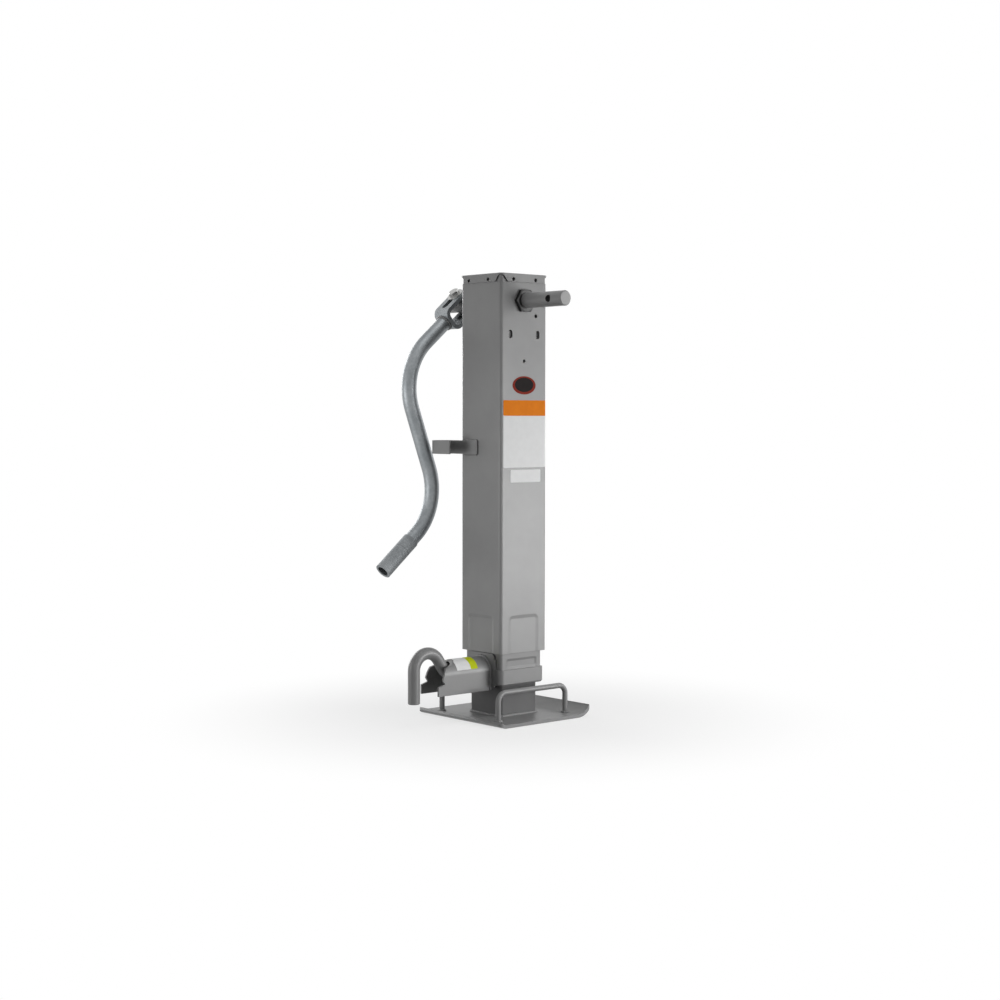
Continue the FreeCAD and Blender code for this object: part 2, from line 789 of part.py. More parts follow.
def make_plunger_housing():
    """Channel with a half-round roof, open at its end so that the hook can rise out of it."""
    far = base_face + housing_lip_reach
    shell = arch_prism(housing_radius, housing_bottom, base_face, far)
    hollow = arch_prism(housing_radius - housing_sheet, housing_bottom, base_face, far)
    roof = pin_level + housing_radius
    wall_end = base_face + housing_wall_reach
    profile = [(base_face, housing_bottom), (base_face, roof), (base_face + housing_crown, roof),
               (base_face + housing_neck_reach, roof - housing_neck_drop),
               (base_face + housing_shoulder_reach, roof - housing_shoulder_drop),
               (wall_end, housing_bottom + housing_slope_height),
               (wall_end - housing_notch, housing_bottom + housing_notch_height),
               (far, housing_bottom + housing_lip_height), (far, housing_bottom)]
    points = [Vector(-x, -housing_radius, z) for x, z in profile]
    keep = Part.Face(Part.makePolygon(points + points[:1])).extrude(Y_AXIS * 2 * housing_radius)
    return shell.cut(hollow).common(keep)


def make_spring_stop():
    """Plate across the channel that the spring pushes against, with a hole for the bar."""
    near = base_face + stop_plate_reach - stop_plate
    plate = arch_prism(housing_radius - housing_sheet, housing_bottom + housing_sheet,
                       near, base_face + stop_plate_reach)
    return plate.cut(pin_bore(base_face + stop_plate_reach + 1))


def make_plunger_spring():
    """Compression spring round the bar, with its wire drawn as a many-sided section."""
    near = base_face + collar_ring_reach
    far = base_face + stop_plate_reach - stop_plate
    coil_start = Vector(-near - spring_wire / 2, 0, pin_level)
    run = far - near - spring_wire
    steps = round(spring_coils * spring_steps)
    sections = []
    for i in range(steps + 1):
        turn = FreeCAD.Rotation(X_AXIS, 360 * spring_coils * i / steps)
        centre = coil_start - X_AXIS * (run * i / steps) + turn.multVec(Z_AXIS * (spring_mean / 2))
        ring = []
        for j in range(spring_sides + 1):
            angle = 2 * math.pi * j / spring_sides
            spoke = X_AXIS * math.cos(angle) + Z_AXIS * math.sin(angle)
            ring.append(centre + turn.multVec(spoke) * (spring_wire / 2))
        sections.append(Part.makePolygon(ring))
    return Part.makeLoft(sections, True, True)


# Plunger
def make_pull_pin():
    """Round bar: straight lock pin, elbow up out of the channel, then a hook for the hand."""
    rise = math.radians(hook_rise_angle)
    tip = Vector(-leg_half - pin_tip_gap, 0, pin_level)
    elbow = Vector(-base_face - hook_elbow_reach, 0, pin_level)
    leg_x = -base_face - hook_leg_reach
    peak = Vector(leg_x, 0, pin_level + (elbow.x - leg_x) * math.tan(rise))
    end = Vector(leg_x, 0, pin_level - hook_leg_drop)
    bar = bent_bar([tip, elbow, peak, end], [hook_bend_radius, hook_radius], pin_diameter)
    rims = [e for e in bar.Edges if isinstance(e.Curve, Part.Circle)]
    ends = [e for e in rims if e.BoundBox.XMin > tip.x - 0.01 or e.BoundBox.ZMax < end.z + 0.01]
    return bar.makeChamfer(pin_chamfer, ends).cut(make_collar_pin())


def make_spring_collar():
    near = Vector(-base_face - collar_ring_reach + collar_ring_width, 0, pin_level)
    return tube(collar_ring, pin_diameter, near, near - X_AXIS * collar_ring_width)


def make_collar_pin():
    """Cross pin in the bar that the spring's collar pushes on."""
    x = -base_face - collar_ring_reach + collar_ring_width + collar_pin_diameter / 2
    centre = Vector(x, 0, pin_level)
    reach = Y_AXIS * (collar_pin_length / 2)
    return cylinder(collar_pin_diameter, centre - reach, centre + reach)


# Drop leg and foot
def make_leg_tube():
    body = square_tube(leg_side, leg_wall, leg_corner, leg_bottom, leg_bottom + leg_length)
    hole = pin_diameter + 2 * lock_hole_clearance
    for i in range(lock_hole_count):
        level = Vector(0, 0, pin_level + i * lock_hole_pitch)
        body = body.cut(cylinder(hole, level, level - X_AXIS * leg_side))
    return body


def foot_end(flat, radius, angle):
    """One half of the sole plate: flat from the middle, then curling up at its end.

    Returns the solid, drawn towards +X, and how far it reaches.
    """
    turn = math.radians(angle)
    under = radius + foot_sheet
    front = -foot_depth / 2

    def at_bend(bend_radius, bend):
        return Vector(flat + bend_radius * math.sin(bend), front, under - bend_radius * math.cos(bend))

    sole = Vector(0, front, 0)
    top = Vector(0, front, foot_sheet)
    edges = [Part.LineSegment(sole, at_bend(under, 0)).toShape(),
             Part.Arc(at_bend(under, 0), at_bend(under, turn / 2), at_bend(under, turn)).toShape(),
             Part.LineSegment(at_bend(under, turn), at_bend(radius, turn)).toShape(),
             Part.Arc(at_bend(radius, turn), at_bend(radius, turn / 2), at_bend(radius, 0)).toShape(),
             Part.LineSegment(at_bend(radius, 0), top).toShape(),
             Part.LineSegment(top, sole).toShape()]
    solid = Part.Face(Part.Wire(edges)).extrude(Y_AXIS * foot_depth)
    return solid, at_bend(under, turn).x


def make_foot_plate():
    """Pressed sole plate, flat in the middle and curling up more at its right end."""
    right, right_reach = foot_end(foot_right_flat, foot_right_radius, foot_right_angle)
    left, left_reach = foot_end(foot_left_flat, foot_left_radius, foot_left_angle)
    plate = right.fuse(turned(left, 180)).removeSplitter()
    corner = Vector(-left_reach, -foot_depth / 2, 0)
    outline = Part.makeBox(left_reach + right_reach, foot_depth, foot_depth, corner)
    return plate.common(outline.makeFillet(foot_corner, edges_along(outline, Z_AXIS)))


def make_hoop(side):
    """Wire carrying handle on the front (side -1) or rear (side 1) edge of the foot."""
    y = side * (foot_depth / 2 - hoop_inset)
    x = hoop_width / 2
    seat = foot_sheet / 2
    corners = [Vector(-x, y, seat), Vector(-x, y, hoop_height), Vector(x, y, hoop_height), Vector(x, y, seat)]
    wire = bent_bar(corners, [hoop_bend_radius, hoop_bend_radius], hoop_wire)
    pieces = wire.cut(make_foot_plate()).Solids
    return max(pieces, key=lambda piece: piece.Volume)


# Crank handle, drawn hanging from its bolt and then turned to the rest angle
def hang(shape):
    """Places a piece drawn about the crank bolt, with the handle hanging along -Z."""
    return moved(turned(shape, crank_rest_angle, Y_AXIS), crank_pivot)


def make_crank_clevis():
    """Strap bent to a U, its two ears slotted for the crank bolt."""
    outer = clevis_outer / 2
    inner = clevis_gap / 2
    bottom = -pivot_to_base - clevis_base
    block = Part.makeBox(clevis_outer, clevis_width, clevis_tip - bottom,
                         Vector(-outer, -clevis_width / 2, bottom))
    low_edges = [e for e in edges_along(block, Y_AXIS) if e.CenterOfMass.z < bottom + 0.01]
    block = block.makeFillet(clevis_bend + clevis_ear, low_edges)
    hollow = Part.makeBox(clevis_gap, clevis_width, clevis_tip + pivot_to_base,
                          Vector(-inner, -clevis_width / 2, -pivot_to_base))
    low_edges = [e for e in edges_along(hollow, Y_AXIS) if e.CenterOfMass.z < -pivot_to_base + 0.01]
    block = block.cut(hollow.makeFillet(clevis_bend, low_edges))
    tips = [e for e in edges_along(block, X_AXIS) if e.CenterOfMass.z > clevis_tip - 0.01]
    block = block.makeFillet(clevis_tip_corner, tips)
    top_end = cylinder(slot_width, Vector(-outer, 0, 0), Vector(outer, 0, 0))
    low_end = moved(top_end, -Z_AXIS * slot_length)
    web = Part.makeBox(clevis_outer, slot_width, slot_length, Vector(-outer, -slot_width / 2, -slot_length))
    return hang(block.cut(top_end.fuse([low_end, web])))


def handle_corners():
    """Ends and bend points of the handle's centre line, hanging from the clevis."""
    turn = math.radians(handle_bend_angle)
    start = Vector(0, 0, -pivot_to_base - clevis_base)
    first = start - Z_AXIS * handle_first
    second = first + Vector(math.sin(turn), 0, -math.cos(turn)) * handle_middle
    return [start, first, second, second - Z_AXIS * handle_last]


def make_crank_tube():
    corners = handle_corners()
    bends = [handle_bend_radius, handle_bend_radius]
    outside = bent_bar(corners, bends, handle_tube)
    inside = bent_bar(corners, bends, handle_tube - 2 * handle_wall)
    return hang(outside.cut(inside))


def make_grip_sleeve():
    end = handle_corners()[-1]
    start = end + Z_AXIS * grip_length
    sleeve_diameter = handle_tube + 2 * grip_wall
    sleeve = tube(sleeve_diameter, handle_tube, start, end)
    groove_start = end + Z_AXIS * grip_groove_inset
    groove_end = groove_start + Z_AXIS * grip_groove
    groove = tube(sleeve_diameter + 2, sleeve_diameter - 2 * grip_groove_depth, groove_start, groove_end)
    return hang(sleeve.cut(groove))


def washer_face():
    return clevis_outer / 2 + washer_thickness


def make_crank_bolt():
    under_head = Vector(-washer_face(), 0, 0)
    thread_end = Vector(washer_face() + lock_nut_height + bolt_thread_end, 0, 0)
    shank = cylinder(bolt_diameter, under_head, thread_end)
    head = crowned_hexagon(bolt_hex, under_head, under_head - X_AXIS * bolt_head, Z_AXIS, bolt_head / 6)
    return hang(shank.fuse(head).removeSplitter())


def make_crank_washers():
    outer = clevis_outer / 2
    near = tube(washer_diameter, bolt_diameter, Vector(-outer, 0, 0), Vector(-washer_face(), 0, 0))
    far = tube(washer_diameter, bolt_diameter, Vector(outer, 0, 0), Vector(washer_face(), 0, 0))
    return hang(Part.makeCompound([near, far]))


def make_crank_nut():
    start = Vector(washer_face(), 0, 0)
    end = start + X_AXIS * lock_nut_height
    body = crowned_hexagon(nut_hex, start, end, Z_AXIS, lock_nut_height / 6)
    return hang(body.cut(cylinder(bolt_diameter, start, end)))


nodes = {
    "outer_tube": make_outer_tube(),
    "top_cap": make_top_cap(),
    "bushing_front": make_bushing(-1),
    "bushing_rear": make_bushing(1),
    "bearing_plate": make_bearing_plate(),
    "gear_washer": make_gear_washer(),
    "thrust_race_fixed": make_thrust_race(fixed_race_bottom),
    "thrust_cage": make_thrust_cage(),
    "thrust_rollers": make_thrust_rollers(),
    "handle_clip": make_handle_clip(),
    "drive_shaft": make_drive_shaft(),
    "shaft_collar": make_shaft_collar(),
    "bevel_pinion": make_bevel_pinion(),
    "pinion_pin": make_pinion_pin(),
    "lift_screw": make_lift_screw(),
    "bevel_gear": make_bevel_gear(),
    "gear_pin": make_gear_pin(),
    "thrust_race_turning": make_thrust_race(turning_race_bottom),
    "screw_stop": make_screw_stop(),
    "ram_tube": make_ram_tube(),
    "lift_nut": make_lift_nut(),
    "ram_collar": make_ram_collar(),
    "plunger_base": make_plunger_base(),
    "plunger_housing": make_plunger_housing(),
    "spring_stop": make_spring_stop(),
    "plunger_spring": make_plunger_spring(),
    "pull_pin": make_pull_pin(),
    "spring_collar": make_spring_collar(),
    "collar_pin": make_collar_pin(),
    "leg_tube": make_leg_tube(),
    "foot_plate": make_foot_plate(),
    "hoop_front": make_hoop(-1),
    "hoop_rear": make_hoop(1),
    "crank_clevis": make_crank_clevis(),
    "crank_tube": make_crank_tube(),
    "grip_sleeve": make_grip_sleeve(),
    "crank_bolt": make_crank_bolt(),
    "crank_washers": make_crank_washers(),
    "crank_nut": make_crank_nut(),
}

os.makedirs("parts", exist_ok=True)
for name, shape in nodes.items():
    shape.exportStep("parts/" + name + ".step")
    print(name, len(shape.Solids), "solids", round(shape.Volume / 1000, 2), "cm3", shape.isValid())
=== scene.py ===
# %% [markdown]
# # A square drop-leg trailer jack
# This lesson dresses a finished CAD assembly for a studio picture. The solids already have the right
# shapes and sizes, so Blender's work is the finish: powder coat, zinc plate, weld beads, a bolt thread, a
# round-wire spring and blank stickers, then a camera, a floor and soft light. Every length is in metres.

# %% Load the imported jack
import math

import bmesh
import bpy
from mathutils import Matrix, Vector


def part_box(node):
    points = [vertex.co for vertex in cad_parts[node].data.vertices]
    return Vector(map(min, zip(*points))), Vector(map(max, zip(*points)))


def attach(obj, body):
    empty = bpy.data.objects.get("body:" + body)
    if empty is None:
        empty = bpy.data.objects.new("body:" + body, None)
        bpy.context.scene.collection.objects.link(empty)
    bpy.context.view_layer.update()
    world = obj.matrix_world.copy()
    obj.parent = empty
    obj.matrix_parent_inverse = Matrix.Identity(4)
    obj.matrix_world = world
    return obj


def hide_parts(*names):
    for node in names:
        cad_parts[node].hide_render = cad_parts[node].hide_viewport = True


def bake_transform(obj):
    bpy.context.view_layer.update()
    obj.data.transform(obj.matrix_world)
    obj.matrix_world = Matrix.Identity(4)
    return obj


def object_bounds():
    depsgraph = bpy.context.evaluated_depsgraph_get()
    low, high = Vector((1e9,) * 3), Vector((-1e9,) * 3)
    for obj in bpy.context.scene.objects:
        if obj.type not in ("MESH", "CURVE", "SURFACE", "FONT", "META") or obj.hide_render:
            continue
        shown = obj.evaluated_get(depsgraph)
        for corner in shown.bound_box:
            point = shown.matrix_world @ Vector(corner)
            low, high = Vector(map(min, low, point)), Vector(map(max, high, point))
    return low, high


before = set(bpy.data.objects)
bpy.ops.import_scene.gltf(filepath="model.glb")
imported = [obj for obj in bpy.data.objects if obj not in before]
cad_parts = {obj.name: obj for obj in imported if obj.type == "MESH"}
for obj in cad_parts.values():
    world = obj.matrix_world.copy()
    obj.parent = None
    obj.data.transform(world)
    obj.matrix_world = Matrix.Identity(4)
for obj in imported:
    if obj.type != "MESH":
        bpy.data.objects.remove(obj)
cad_low, cad_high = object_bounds()
MM = 0.001
print("nodes", len(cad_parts))
print("CAD box", [round(v, 4) for v in cad_low], [round(v, 4) for v in cad_high])

# %% [markdown]
# ## Places read from the frame
# Pieces that are added here sit on CAD surfaces, so their places are read from the CAD boxes. When the
# solids change, the stickers and weld beads follow. A box doesn't tell how round a corner is, so the
# radius of the tube's corners is a value of its own. The plunger channel has a half-round roof, and half
# the channel's width is the radius of that roof.

# %% Measure the surfaces that carry added pieces
outer_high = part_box("outer_tube")[1]
leg_low, leg_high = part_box("leg_tube")
housing_low, housing_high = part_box("plunger_housing")
base_low, base_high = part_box("plunger_base")
clip_low, clip_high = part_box("handle_clip")
shaft_low, shaft_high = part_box("drive_shaft")

outer_half = outer_high[0]
outer_corner = 5.0 * MM
tube_top = outer_high[2]
foot_top = leg_low[2]
shaft_level = (shaft_low[2] + shaft_high[2]) / 2
channel_radius = housing_high[1]
pin_level = housing_high[2] - channel_radius
print("tube half width", round(outer_half, 5), "top", round(tube_top, 4))
print("shaft level", round(shaft_level, 4), "pin level", round(pin_level, 4))

# %% [markdown]
# ## Material helpers
# A material is a small graph of nodes. These helpers add a node, set its plain numbers and join sockets,
# so that each finish below reads as a short recipe. Patterns read Object coordinates: a finished piece
# sits at the origin, so one metre of pattern is one metre of object.

# %% Node helpers
def add_node(tree, kind, settings=None, inputs=None):
    """Adds one node, sets its properties and the default values of its inputs."""
    node = tree.nodes.new(kind)
    for key, value in (settings or {}).items():
        setattr(node, key, value)
    for key, value in (inputs or {}).items():
        node.inputs[key].default_value = value
    return node


def start_material(name, sockets):
    """A material with one Principled shader, some sockets set, and Object coordinates to build on."""
    material = bpy.data.materials.new(name)
    material.use_nodes = True
    tree = material.node_tree
    shader = tree.nodes["Principled BSDF"]
    for key, value in sockets.items():
        shader.inputs[key].default_value = value
    place = add_node(tree, "ShaderNodeTexCoord")
    return material, tree, shader, place.outputs["Object"]


def noise(tree, place, scale, detail=3.0, roughness=0.55):
    """A noise pattern on a place socket; scale is in waves per metre."""
    node = add_node(tree, "ShaderNodeTexNoise", None,
                    {"Scale": scale, "Detail": detail, "Roughness": roughness})
    tree.links.new(place, node.inputs["Vector"])
    return node.outputs["Fac"]


def ramp(tree, factor, stops):
    """Colours along a factor; stops are (position, colour)."""
    node = add_node(tree, "ShaderNodeValToRGB")
    elements = node.color_ramp.elements
    while len(elements) < len(stops):
        elements.new(0.5)
    for element, (position, colour) in zip(elements, stops):
        element.position = position
        element.color = (*colour, 1.0)
    tree.links.new(factor, node.inputs["Fac"])
    return node.outputs["Color"]


def between(tree, factor, low, high):
    """Maps a 0 to 1 factor to a range of numbers."""
    node = add_node(tree, "ShaderNodeMapRange", None, {"To Min": low, "To Max": high})
    tree.links.new(factor, node.inputs["Value"])
    return node.outputs["Result"]


def soft_edges(tree, radius):
    """A normal that rounds sharp edges in the shading, as paint or plating does."""
    node = add_node(tree, "ShaderNodeBevel", {"samples": 4}, {"Radius": radius})
    return node.outputs["Normal"]


def bump(tree, height, strength, distance, normal):
    """Turns a height pattern into small surface relief over another normal."""
    node = add_node(tree, "ShaderNodeBump", None, {"Strength": strength, "Distance": distance})
    tree.links.new(height, node.inputs["Height"])
    tree.links.new(normal, node.inputs["Normal"])
    return node.outputs["Normal"]


print("material helpers ready")

# %% [markdown]
# ## Powder coat
# The tubes, foot, hoops and plunger are coated in grey powder. The pieces below the outer tube take darker
# copies of it, painted shade for the light that falls off towards the ground. Baked powder is never mirror
# flat: it has a fine orange peel, a slow drift in tone and slightly uneven gloss. A plain grey would look
# like plastic, so three noise scales are layered, and a bevel normal lets the coat run round sharp edges.
# The drop leg's copy is the darkest, partly a darker finish and partly painted shade, and its recipe has
# less shine.

# %% Make the powder coat
def powder_coat(name, dark, light, peel, shine=1.0):
    """Baked powder between two tones; peel is the strength of its relief, shine that of its gloss."""
    drift_scale = 16.0
    gloss_scale = 75.0
    peel_scale = 1100.0
    peel_depth = 0.10 * MM
    edge_radius = 0.7 * MM
    material, tree, shader, place = start_material(
        name, {"Metallic": 0.0, "Specular IOR Level": 0.5 * shine,
               "Coat Weight": 0.12 * shine, "Coat Roughness": 0.25})
    tone = ramp(tree, noise(tree, place, drift_scale), [(0.3, dark), (0.7, light)])
    tree.links.new(tone, shader.inputs["Base Color"])
    gloss = between(tree, noise(tree, place, gloss_scale), low=0.36, high=0.50)
    tree.links.new(gloss, shader.inputs["Roughness"])
    orange_peel = noise(tree, place, peel_scale, detail=2.0)
    relief = bump(tree, orange_peel, peel, peel_depth, soft_edges(tree, edge_radius))
    tree.links.new(relief, shader.inputs["Normal"])
    return material


grey_dark = (0.27, 0.27, 0.271)
grey_light = (0.305, 0.305, 0.305)
fine_peel = 0.35
coarse_peel = 0.5
leg_shine = 0.3
grey_coat = powder_coat("grey_powder_coat", grey_dark, grey_light, fine_peel)
# painted shade: a darker copy of the grey coat for the ram group, hoops and foot, for the light that falls
# off below the outer tube
ram_coat_painted_shade = powder_coat("ram_powder_coat_painted_shade", (0.215, 0.215, 0.216), (0.245, 0.245, 0.245), fine_peel)
# partly a darker finish and partly painted shade: the drop leg's copy is darker still and has less shine
leg_coat_partly_painted_shade = powder_coat("leg_powder_coat_partly_painted_shade", (0.138, 0.138, 0.139), (0.162, 0.162, 0.163), fine_peel,
                       leg_shine)
weld_coat = powder_coat("coated_weld", (0.20, 0.20, 0.20), (0.25, 0.25, 0.25), coarse_peel)
print("coats", [m.name for m in (grey_coat, ram_coat_painted_shade, leg_coat_partly_painted_shade, weld_coat)])

# %% [markdown]
# ## Zinc and steel
# The crank handle is zinc plated over drawn tube: a cool blue-grey metal whose streaks run with the draw.
# Its grip sleeve is duller, and bolt, nut and washers are brighter. Plated metal is fully metallic, and its
# character is in the roughness, so a stretched noise drives the gloss while a cell pattern gives faint
# crystal spangle.

# %% Make the metals
def plated_metal(name, dark, light, rough_low, rough_high, spangle_scale):
    """Metal between two tones, with cells of spangle, and streaks that vary its roughness."""
    cloud_scale = 40.0
    streak_scales = (140.0, 140.0, 22.0)
    streak_strength = 0.08
    streak_depth = 0.10 * MM
    edge_radius = 0.4 * MM
    material, tree, shader, place = start_material(name, {"Metallic": 1.0})
    cells = add_node(tree, "ShaderNodeTexVoronoi", None, {"Scale": spangle_scale})
    tree.links.new(place, cells.inputs["Vector"])
    mix = add_node(tree, "ShaderNodeMath", {"operation": "MULTIPLY"})
    tree.links.new(noise(tree, place, cloud_scale), mix.inputs[0])
    tree.links.new(between(tree, cells.outputs["Distance"], low=0.75, high=1.25), mix.inputs[1])
    tone = ramp(tree, mix.outputs["Value"], [(0.25, dark), (0.7, light)])
    tree.links.new(tone, shader.inputs["Base Color"])
    stretch = add_node(tree, "ShaderNodeMapping", None, {"Scale": streak_scales})
    tree.links.new(place, stretch.inputs["Vector"])
    streak = noise(tree, stretch.outputs["Vector"], scale=1.0, detail=1.0)
    tree.links.new(between(tree, streak, rough_low, rough_high), shader.inputs["Roughness"])
    relief = bump(tree, streak, streak_strength, streak_depth, soft_edges(tree, edge_radius))
    tree.links.new(relief, shader.inputs["Normal"])
    return material


handle_zinc = plated_metal("handle_zinc", (0.19, 0.205, 0.215), (0.28, 0.295, 0.305), 0.42, 0.56, 260.0)
grip_zinc = plated_metal("grip_zinc", (0.18, 0.192, 0.20), (0.265, 0.278, 0.286), 0.64, 0.76, 260.0)
bright_zinc = plated_metal("bright_zinc", (0.34, 0.34, 0.335), (0.50, 0.50, 0.49), 0.26, 0.42, 500.0)
bushing_steel = plated_metal("bushing_steel", (0.04, 0.04, 0.04), (0.08, 0.08, 0.08), 0.26, 0.40, 600.0)
oiled_steel = plated_metal("oiled_steel", (0.26, 0.26, 0.27), (0.40, 0.40, 0.41), 0.24, 0.38, 700.0)
bearing_bronze = plated_metal("bearing_bronze", (0.38, 0.25, 0.10), (0.55, 0.39, 0.18), 0.28, 0.42, 600.0)
metals = (handle_zinc, grip_zinc, bright_zinc, bushing_steel, oiled_steel, bearing_bronze)
print("metals", [m.name for m in metals])

# %% [markdown]
# The crank shaft was coated as a bar, then sawn and drilled, so its two ends are bright bare steel. Its
# cross holes are painted near black, as shade. Those faces have no colour of their own in the solid, so the
# masks
# come from places: past a fine line short of each end the coat changes to cut metal, and inside the drill's
# radius round each hole's line it changes to painted shade.

# %% Coat the shaft, bare at its sawn ends, with painted shade in its drilled holes
def compared(tree, value, compare, limit):
    """1 where a value is under or over a limit."""
    node = add_node(tree, "ShaderNodeMath", {"operation": compare}, {1: limit})
    tree.links.new(value, node.inputs[0])
    return node.outputs["Value"]


def line_distance(tree, place, point, direction):
    """How far a place is from a line, which is given by a point and a direction of length 1."""
    reach = add_node(tree, "ShaderNodeVectorMath", {"operation": "SUBTRACT"}, {1: point})
    tree.links.new(place, reach.inputs[0])
    across = add_node(tree, "ShaderNodeVectorMath", {"operation": "CROSS_PRODUCT"}, {1: direction})
    tree.links.new(reach.outputs["Vector"], across.inputs[0])
    distance = add_node(tree, "ShaderNodeVectorMath", {"operation": "LENGTH"})
    tree.links.new(across.outputs["Vector"], distance.inputs[0])
    return distance.outputs["Value"]


def repaint(tree, shader, mask, colour):
    """Lays another colour over a shader's base colour where the mask is 1."""
    tone = shader.inputs["Base Color"].links[0].from_socket
    mix = add_node(tree, "ShaderNodeMix", {"data_type": "RGBA"})
    tree.links.new(mask, mix.inputs["Factor"])
    tree.links.new(tone, mix.inputs["A"])
    tree.links.new(colour, mix.inputs["B"])
    tree.links.new(mix.outputs["Result"], shader.inputs["Base Color"])


def sawn_bar(name, ends, holes, drill):
    """The grey coat of a bar along Y, bare at its two ends, with painted shade in its cross holes."""
    saw_scale = 900.0
    material = powder_coat(name, grey_dark, grey_light, fine_peel)
    tree = material.node_tree
    shader = tree.nodes["Principled BSDF"]
    place = tree.nodes["Texture Coordinate"].outputs["Object"]
    along = add_node(tree, "ShaderNodeSeparateXYZ")
    tree.links.new(place, along.inputs["Vector"])
    grain = noise(tree, place, saw_scale)
    bright = ramp(tree, grain, [(0.3, (0.38, 0.38, 0.38)), (0.7, (0.48, 0.48, 0.475))])
    # painted shade: the drilled holes are coloured near black for the shade inside them
    dark = ramp(tree, grain, [(0.3, (0.012, 0.012, 0.012)), (0.7, (0.03, 0.03, 0.03))])
    for limit, compare in zip(ends, ("LESS_THAN", "GREATER_THAN")):
        repaint(tree, shader, compared(tree, along.outputs["Y"], compare, limit), bright)
    for point, direction in holes:
        distance = line_distance(tree, place, point, direction)
        repaint(tree, shader, compared(tree, distance, "LESS_THAN", drill), dark)
    return material


skin = 0.25 * MM
hole_inset = 26.0 * MM
drill_radius = 5.2 * MM
rest_angle = math.radians(50.0)
bolt_along = Vector((math.cos(rest_angle), 0, -math.sin(rest_angle)))
front_hole = ((0.0, shaft_low[1] + hole_inset, shaft_level), (1.0, 0.0, 0.0))
rear_hole = ((0.0, shaft_high[1] - hole_inset, shaft_level), bolt_along)
shaft_ends = (shaft_low[1] + skin, shaft_high[1] - skin)
shaft_coat_with_hole_shade = sawn_bar("shaft_powder_coat_with_hole_shade", shaft_ends, (front_hole, rear_hole), drill_radius)
print("shaft coat with", len(shaft_coat_with_hole_shade.node_tree.nodes), "nodes")

# %% [markdown]
# ## Dress the CAD nodes
# Each CAD node keeps its own mesh and only takes a finish. The names come from the record, and anything
# not named below is an inner machine part, which is left as oiled steel.

# %% Give every CAD node its finish
finishes = {
    grey_coat: ["outer_tube", "top_cap", "handle_clip"],
    shaft_coat_with_hole_shade: ["drive_shaft"],
    ram_coat_painted_shade: ["ram_tube", "ram_collar", "plunger_base", "plunger_housing", "spring_stop", "pull_pin",
               "foot_plate", "hoop_front", "hoop_rear"],
    leg_coat_partly_painted_shade: ["leg_tube"],
    handle_zinc: ["crank_clevis", "crank_tube"],
    grip_zinc: ["grip_sleeve"],
    bright_zinc: ["crank_bolt", "crank_washers", "crank_nut"],
    bushing_steel: ["bushing_front", "bushing_rear", "bearing_plate"],
    bearing_bronze: ["gear_washer", "lift_nut"],
}
finish_of = {name: material for material, names in finishes.items() for name in names}
for name, node_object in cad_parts.items():
    for slot in node_object.material_slots:
        slot.material = finish_of.get(name, oiled_steel)
print("finished", len(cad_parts), "CAD nodes")

# %% [markdown]
# ## Turning a node tree into a plain piece
# Geometry Nodes draw what repeats. The tree runs on a carrier mesh, its result is read back as a plain mesh
# and the carrier is deleted, so the finished piece has no live modifier and sits at the origin.

# %% Helpers for Geometry Nodes and finished pieces
def new_tree(name, sizes):
    """A Geometry Nodes tree with a geometry input, named number inputs and a geometry output."""
    tree = bpy.data.node_groups.new(name, "GeometryNodeTree")
    tree.interface.new_socket("Geometry", in_out="INPUT", socket_type="NodeSocketGeometry")
    for size_name, value in sizes.items():
        socket = tree.interface.new_socket(size_name, in_out="INPUT", socket_type="NodeSocketFloat")
        socket.default_value = value
    tree.interface.new_socket("Geometry", in_out="OUTPUT", socket_type="NodeSocketGeometry")
    return tree, add_node(tree, "NodeGroupInput"), add_node(tree, "NodeGroupOutput")


def grow(name, carrier_mesh, tree, sizes):
    """Runs a tree on a carrier mesh and returns the result as a plain object."""
    carrier = bpy.data.objects.new(name + "_carrier", carrier_mesh)
    bpy.context.scene.collection.objects.link(carrier)
    modifier = carrier.modifiers.new("grow", "NODES")
    modifier.node_group = tree
    sockets = {item.name: item.identifier for item in tree.interface.items_tree if item.in_out == "INPUT"}
    for size_name, value in sizes.items():
        modifier[sockets[size_name]] = value
    graph = bpy.context.evaluated_depsgraph_get()
    mesh = bpy.data.meshes.new_from_object(carrier.evaluated_get(graph))
    bpy.data.objects.remove(carrier)
    mesh.name = name
    piece = bpy.data.objects.new(name, mesh)
    bpy.context.scene.collection.objects.link(piece)
    return piece


def path_mesh(name, runs):
    """A carrier made of edge chains; each run is (points, closed)."""
    points, edges = [], []
    for run, closed in runs:
        first = len(points)
        points += [tuple(p) for p in run]
        edges += [(first + i, first + i + 1) for i in range(len(run) - 1)]
        if closed:
            edges.append((len(points) - 1, first))
    mesh = bpy.data.meshes.new(name)
    mesh.from_pydata(points, edges, [])
    return mesh


def settle(piece, body):
    """Lets a finished piece ride on a CAD body."""
    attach(piece, body)
    print(piece.name, "rides on", body, "with", len(piece.data.polygons), "faces")


print("piece helpers ready")

# %% [markdown]
# ## Weld beads
# The jack is a weldment: foot to leg, hoops to foot, plunger channel to its base, crank tube to its clevis.
# A hand-laid bead is a row of overlapping frozen ripples, so the tree walks a path, drops a flattened
# ball at every ripple, turns it to face along the path and varies its size a little.

